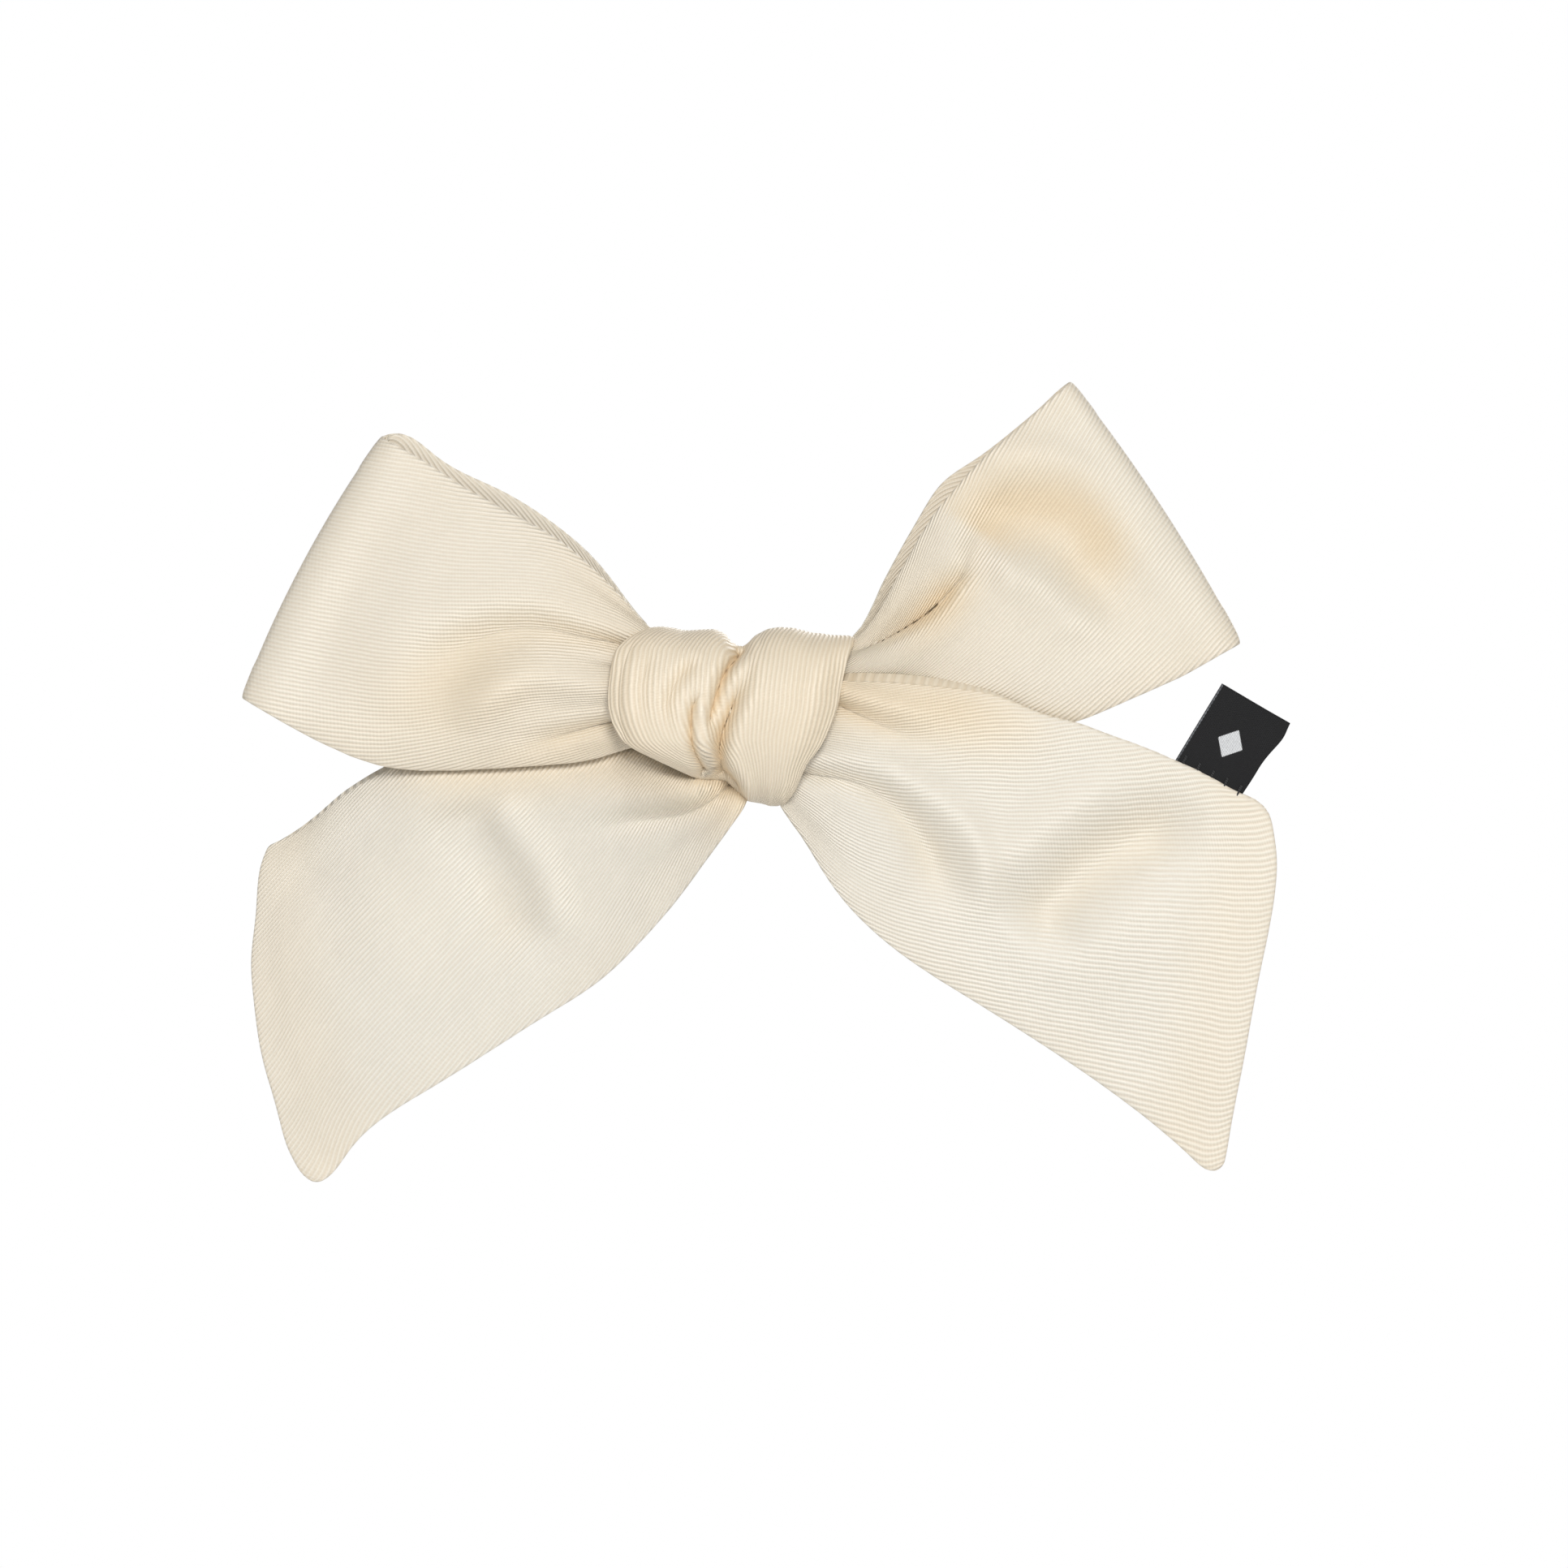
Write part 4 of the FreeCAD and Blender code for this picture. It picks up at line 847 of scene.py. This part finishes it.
# Seam thread in the groove between the plies.
parts = []
for name in ("left_loop", "right_loop", "left_tail", "right_tail"):
    g = runs[name][1]
    for col in (1, g.shape[1] - 2):
        parts.append(tube(g[3:-9, col][::3], 0.11, 6, twist=3.0))
ob = join_parts("seam_thread", parts)
finish_piece(ob, M_THREAD, "bow", "cream_thread", "edge_seam_thread")

# ------------------------------------------------------------------ knot's inside
def gathered_middle():
    nx, na = 80, 180
    x = np.linspace(-5.9, 7.6, nx)
    a = np.linspace(0, math.tau, na, endpoint=False)
    X, A = np.meshgrid(x, a, indexing="ij")
    waist = 4.0 + 1.15 * smooth(0.6, 5.0, np.abs(X - 0.8))
    pleat = 0.5 * np.abs(np.sin(A * 9 + 0.5 * np.sin(X * 0.7))) ** 0.7 + 0.12 * np.sin(A * 23 + X)
    r = waist - 0.45 + pleat * (0.35 + 0.65 * smooth(0.3, 4.0, np.abs(X - 0.8)))
    r = np.minimum(r, 5.3)
    cy = -15.4
    P = np.stack([X, cy + r * np.cos(A), r * np.sin(A)], -1)
    verts = np.concatenate([P.reshape(-1, 3), [[-5.9, cy, 0]], [[7.6, cy, 0]]])
    faces = []
    for i in range(nx - 1):
        for j in range(na):
            k = (j + 1) % na
            faces.append([i * na + j, i * na + k, (i + 1) * na + k, (i + 1) * na + j])
    c0, c1 = nx * na, nx * na + 1
    for j in range(na):
        k = (j + 1) % na
        faces.append([c0, k, j])
        faces.append([c1, (nx - 1) * na + j, (nx - 1) * na + k])
    uv = np.concatenate([np.stack([X, A * 8], -1).reshape(-1, 2), [[0, 0]], [[0, 0]]]) / 10
    return make_mesh("gathered_middle", verts, faces, uv)


finish_piece(gathered_middle(), M_SASH, "bow", "sash_cloth", "gathered_core")

# ------------------------------------------------------------------ label
def label():
    """Folded tape: two leaves, the fold at the far edge, soft kinks in its sides."""
    lo_c, hi_c = np.array([54.75, -15.95, -5.75]), np.array([63.05, -15.75, -9.85])
    up0, up1 = np.array([5.8, 0.3, 9.55]), np.array([5.85, 0.9, 8.75])
    nw, nh = 60, 60
    half, gap = 0.27, 0.05
    s = np.linspace(0, 1, nw)
    path = [(t, -1) for t in np.linspace(-0.07, 0.965, nh)] + [(1 + 0.0 * k, c) for k, c in ((0, -0.86), (0, -0.5), (0, 0.0), (0, 0.5), (0, 0.86))] + [(t, 1) for t in np.linspace(0.965, -0.07, nh)]
    outer, inner, uv = [], [], []
    for k, (t, c) in enumerate(path):
        bend = math.sqrt(max(0.0, 1 - c * c)) if abs(c) < 1 else 0.0
        tt = min(t, 0.972) + 0.028 * bend
        base = lo_c[None] + (hi_c - lo_c)[None] * s[:, None]
        rise = up0[None] + (up1 - up0)[None] * s[:, None]
        q = base + rise * tt
        # a kink on the right side and a gentle wave over the tape
        q[:, 0] += (0.42 * np.exp(-((tt - 0.78) / 0.17) ** 2) - 0.10 * np.exp(-((tt - 0.42) / 0.14) ** 2)) * smooth(0.6, 1.0, s)
        q[:, 1] += 0.22 * np.sin(tt * 2.6 + 0.4) - 0.25 * s * tt + 0.05 * np.sin(9 * s + 4 * tt)
        off = np.array([0.0, 1.0, 0.0])
        h_o, h_i = c * half, c * gap
        outer.append(q + off * h_o)
        q2 = q - rise / np.linalg.norm(rise, axis=1, keepdims=True) * (0.2 * bend if abs(c) < 1 else 0)
        inner.append(q2 + off * h_i)
        uv.append(np.stack([s * 9.7, np.full(nw, tt * 9.6)], -1))
    outer, inner, uv = np.array(outer), np.array(inner), np.array(uv)
    n = len(path)
    verts = np.concatenate([outer.reshape(-1, 3), inner.reshape(-1, 3)])
    uvs = np.concatenate([uv.reshape(-1, 2)] * 2) / 10
    g = np.arange(n * nw).reshape(n, nw)
    h = g + n * nw
    quads = lambda m: np.stack([m[:-1, :-1], m[1:, :-1], m[1:, 1:], m[:-1, 1:]], -1).reshape(-1, 4)
    faces = quads(g).tolist() + quads(h)[:, ::-1].tolist()
    ring_g = np.concatenate([g[:, 0], g[-1, 1:], g[-2::-1, -1], g[0, -2:0:-1]])
    ring_h = np.concatenate([h[:, 0], h[-1, 1:], h[-2::-1, -1], h[0, -2:0:-1]])
    for i in range(len(ring_g)):
        j = (i + 1) % len(ring_g)
        faces.append([int(ring_g[j]), int(ring_g[i]), int(ring_h[i]), int(ring_h[j])])
    return make_mesh("side_label", verts, faces, uvs)


ob = finish_piece(label(), M_LABEL, "bow", "label_tape", "flag_label")

# ------------------------------------------------------------------ felt pad and sleeve
def rounded_slab(name, x0, x1, z0, z1, y0, y1, r, rough, seed, edge_r=0.3):
    """Soft-edged slab with an uneven surface."""
    n = 25
    corners = [(x1 - r, z1 - r, 0), (x0 + r, z1 - r, 90), (x0 + r, z0 + r, 180), (x1 - r, z0 + r, 270)]
    ring = []
    for cx, cz, a0 in corners:
        for k in range(10):
            a = math.radians(a0 + 90 * k / 9)
            ring.append((cx + r * math.cos(a), cz + r * math.sin(a)))
    ring = np.array(ring)
    # even spacing round the outline
    closed = np.vstack([ring, ring[:1]])
    d = np.concatenate([[0], np.cumsum(np.linalg.norm(np.diff(closed, axis=0), axis=1))])
    m = int(d[-1] / 0.35)
    t = np.linspace(0, d[-1], m, endpoint=False)
    ring = np.stack([np.interp(t, d, closed[:, 0]), np.interp(t, d, closed[:, 1])], -1)
    c = np.array([(x0 + x1) / 2, (z0 + z1) / 2])
    rows = []
    prof = [(s, 1) for s in np.linspace(0.04, 0.955, n)] + [(0.985, 0.8), (1.0, 0.3), (1.0, -0.3), (0.985, -0.8)] + [(s, -1) for s in np.linspace(0.955, 0.04, n)]
    ym, yh = (y0 + y1) / 2, (y1 - y0) / 2
    for s, h in prof:
        q = c + (ring - c) * s
        rows.append(np.stack([q[:, 0], np.full(m, ym - h * yh), q[:, 1]], -1))
    rows = np.array(rows)
    w = rough * (waves(rows[..., 0], rows[..., 2] + rows[..., 1], seed, 2.4, 3))
    side = np.array([h for _, h in prof])[:, None]
    rows[..., 1] -= w * np.abs(side) * np.sign(side) * 0.5
    k = 1 + 0.006 * waves(rows[..., 0] * 1.0, rows[..., 2], seed + 1, 1.6, 2) * (np.abs(side) < 1)
    rows[..., 0] = c[0] + (rows[..., 0] - c[0]) * k
    rows[..., 2] = c[1] + (rows[..., 2] - c[1]) * k
    nn = len(prof)
    verts = np.concatenate([rows.reshape(-1, 3), [rows[0].mean(0)], [rows[-1].mean(0)]])
    faces = []
    for i in range(nn - 1):
        for j in range(m):
            k2 = (j + 1) % m
            faces.append([i * m + j, (i + 1) * m + j, (i + 1) * m + k2, i * m + k2])
    for j in range(m):
        k2 = (j + 1) % m
        faces.append([nn * m, j, k2])
        faces.append([nn * m + 1, (nn - 1) * m + k2, (nn - 1) * m + j])
    return make_mesh(name, verts, faces)


b_lo, b_hi = (np.array(c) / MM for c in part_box("felt_backing_pad"))
ob = rounded_slab("felt_pad", b_lo[0], b_hi[0], b_lo[2], b_hi[2], b_lo[1], b_hi[1], 3.0, 0.10, 61)
finish_piece(ob, M_FELT, "bow", "felt", "felt_backing_pad")


def sleeve():
    s_lo, s_hi = (np.array(c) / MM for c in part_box("clip_ribbon_sleeve"))
    yc, zc = (s_lo[1] + s_hi[1]) / 2, 0.0
    hy, hz, t = (s_hi[1] - s_lo[1]) / 2, (s_hi[2] - s_lo[2]) / 2, 0.38

    def ring(dy, dz, r, n=8):
        out = []
        for cy, cz, a0 in ((dy - r, dz - r, 0), (-dy + r, dz - r, 90), (-dy + r, -dz + r, 180), (dy - r, -dz + r, 270)):
            for k in range(n):
                a = math.radians(a0 + 90 * k / (n - 1))
                out.append((cy + r * math.cos(a), cz + r * math.sin(a)))
        return np.array(out)

    o, i = ring(hy, hz, 0.38), ring(hy - t, hz - t, 0.08)

    def fill(q):
        c = np.vstack([q, q[:1]])
        d = np.concatenate([[0], np.cumsum(np.linalg.norm(np.diff(c, axis=0), axis=1))])
        s = np.linspace(0, d[-1], 90, endpoint=False)
        return np.stack([np.interp(s, d, c[:, 0]), np.interp(s, d, c[:, 1])], -1), s
    (o, so), (i, _) = fill(o), fill(i)
    xs = np.arange(s_lo[0], s_hi[0] + 1e-6, 0.15)
    rows_o, rows_i = [], []
    for x in xs:
        w = 0.035 * math.sin(x * math.tau / 0.6)
        grow = 1 + w / hz
        soft = 0.03 * math.sin(x * 1.1)
        rows_o.append(np.stack([np.full(len(o), x), yc + o[:, 0] * (1 + w / hy) + 0 * soft, zc + o[:, 1] * grow], -1))
        rows_i.append(np.stack([np.full(len(i), x), yc + i[:, 0], zc + i[:, 1]], -1))
    rows = np.array(rows_o + rows_i[::-1])
    m = rows.shape[1]
    uv = []
    for r in rows:
        uv.append(np.stack([r[:, 0], so], -1))
    verts = rows.reshape(-1, 3)
    faces = []
    nr = rows.shape[0]
    for a in range(nr):
        b = (a + 1) % nr
        for j in range(m):
            k = (j + 1) % m
            faces.append([a * m + j, a * m + k, b * m + k, b * m + j])
    return make_mesh("ribbon_sleeve", verts, faces, np.concatenate(uv) / 10)


ob = finish_piece(sleeve(), M_RIBBON, "bow", "lining_ribbon", "clip_ribbon_sleeve")

# ------------------------------------------------------------------ spring
def spring():
    """Torsion spring: coil round the pin, a leg on each plate, wire 0.8 mm."""
    px, py, cr, wr = 11.0, -3.1, 1.45, 0.4
    pitch, turns = 0.83, 4
    z0, n = -pitch * turns / 2, 24
    total = int(n * (turns + 0.5))
    pts = []
    for i in range(total + 1):
        a = math.radians(90) - math.tau * i / n
        pts.append((px + cr * math.cos(a), py + cr * math.sin(a), z0 + 2 * -z0 * i / total))
    la, lb = (px - 8, -0.8 - wr - 0.06, z0), (px - 8, -5.4 + wr + 0.06, -z0)
    first = [la, (px - 4, (la[1] + pts[0][1]) / 2 + 0.05, z0), (px - 1.2, pts[0][1] + 0.03, z0)]
    last = [(px - 1.2, pts[-1][1] - 0.03, -z0), (px - 4, (lb[1] + pts[-1][1]) / 2 - 0.05, -z0), lb]
    p = np.array(first + pts + last)
    d = np.concatenate([[0], np.cumsum(np.linalg.norm(np.diff(p, axis=0), axis=1))])
    q = cubic(d, p, np.linspace(0, d[-1], 420))
    v, f = tube(q, wr, 14)
    return make_mesh("return_spring", v, f)


ob = finish_piece(spring(), M_SPRING, None, "spring_steel", "torsion_spring")
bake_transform(ob)

# ------------------------------------------------------------------ CAD pieces
for node, mat in (("clip_head_jaw", M_CLIP), ("clip_top_arm", M_CLIP), ("hinge_pin", M_PIN), ("gathering_thread", M_THREAD),
                  ("knot_closing_stitches", M_THREAD), ("clip_tack_stitches", M_THREAD), ("label_stitches", M_BLACK)):
    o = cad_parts[node]
    o.data.materials.clear()
    o.data.materials.append(mat)

# ------------------------------------------------------------------ stage
def floor():
    n = 96
    ang = np.linspace(0, math.tau, n, endpoint=False)
    rings = []
    for r, z in ((0.0, -200), (300, -200), (700, -200), (1000, -200)):
        rings.append(np.stack([r * np.cos(ang), r * np.sin(ang), np.full(n, float(z))], -1))
    v = np.concatenate(rings[1:] + [[[0, 0, -200]]])
    f = []
    for i in range(2):
        for j in range(n):
            k = (j + 1) % n
            f.append([i * n + j, (i + 1) * n + j, (i + 1) * n + k, i * n + k])
    for j in range(n):
        f.append([3 * n, j, (j + 1) % n])
    return make_mesh("studio_floor", v, f)


fl = floor()
m = Mat("floor_mat")
pos = object_mm(m)
m.link(m.ramp(m.noise(pos, 0.01, 3.0), [(0.3, (0.93, 0.93, 0.93)), (0.7, (0.96, 0.96, 0.96))]), m.bsdf.inputs["Base Color"])
m.set(Roughness=0.8, Specular_IOR_Level=0.1)
fl.data.materials.append(m.m)

world = bpy.data.worlds.new("studio_world")
SCENE.world = world
world.use_nodes = True
wt = world.node_tree
wt.nodes.clear()
out = wt.nodes.new("ShaderNodeOutputWorld")
lit, seen_bg, mixn, lp = (wt.nodes.new(k) for k in ("ShaderNodeBackground", "ShaderNodeBackground", "ShaderNodeMixShader", "ShaderNodeLightPath"))
lit.inputs["Color"].default_value = (1.0, 0.995, 0.985, 1)
lit.inputs["Strength"].default_value = 0.355
seen_bg.inputs["Color"].default_value = (1, 1, 1, 1)
seen_bg.inputs["Strength"].default_value = 1.0
wt.links.new(lp.outputs["Is Camera Ray"], mixn.inputs[0])
wt.links.new(lit.outputs[0], mixn.inputs[1])
wt.links.new(seen_bg.outputs[0], mixn.inputs[2])
wt.links.new(mixn.outputs[0], out.inputs[0])


def area(name, place, target, size, power, col=(1, 1, 1)):
    l = bpy.data.lights.new(name, "AREA")
    l.shape, l.size, l.energy, l.color = "DISK", size, power, col
    o = bpy.data.objects.new(name, l)
    SCENE.collection.objects.link(o)
    o.location = place
    o.rotation_euler = (Vector(target) - Vector(place)).to_track_quat("-Z", "Y").to_euler()
    return o


area("key", (0.14, -1.14, 0.52), (0, 0, -0.01), 0.45, 8.8)
area("fill", (-0.30, -1.10, -0.40), (0, 0, 0), 0.7, 4.4)
area("back", (0.4, 1.3, 0.6), (0, 0, 0), 0.8, 9.0)

cam = bpy.data.cameras.new("camera")
cam.sensor_width = 36.0
cam.lens = 36.0 * 1200.0 / 193.2
cam.clip_start, cam.clip_end = 0.05, 20
co = bpy.data.objects.new("camera", cam)
co.location = tuple(CAM * MM)
co.rotation_euler = (math.radians(90), 0, 0)
SCENE.collection.objects.link(co)
SCENE.camera = co
SCENE.view_settings.view_transform = "Standard"
SCENE.view_settings.look = "None"
SCENE.view_settings.exposure = 0.0
SCENE.view_settings.gamma = 1.0
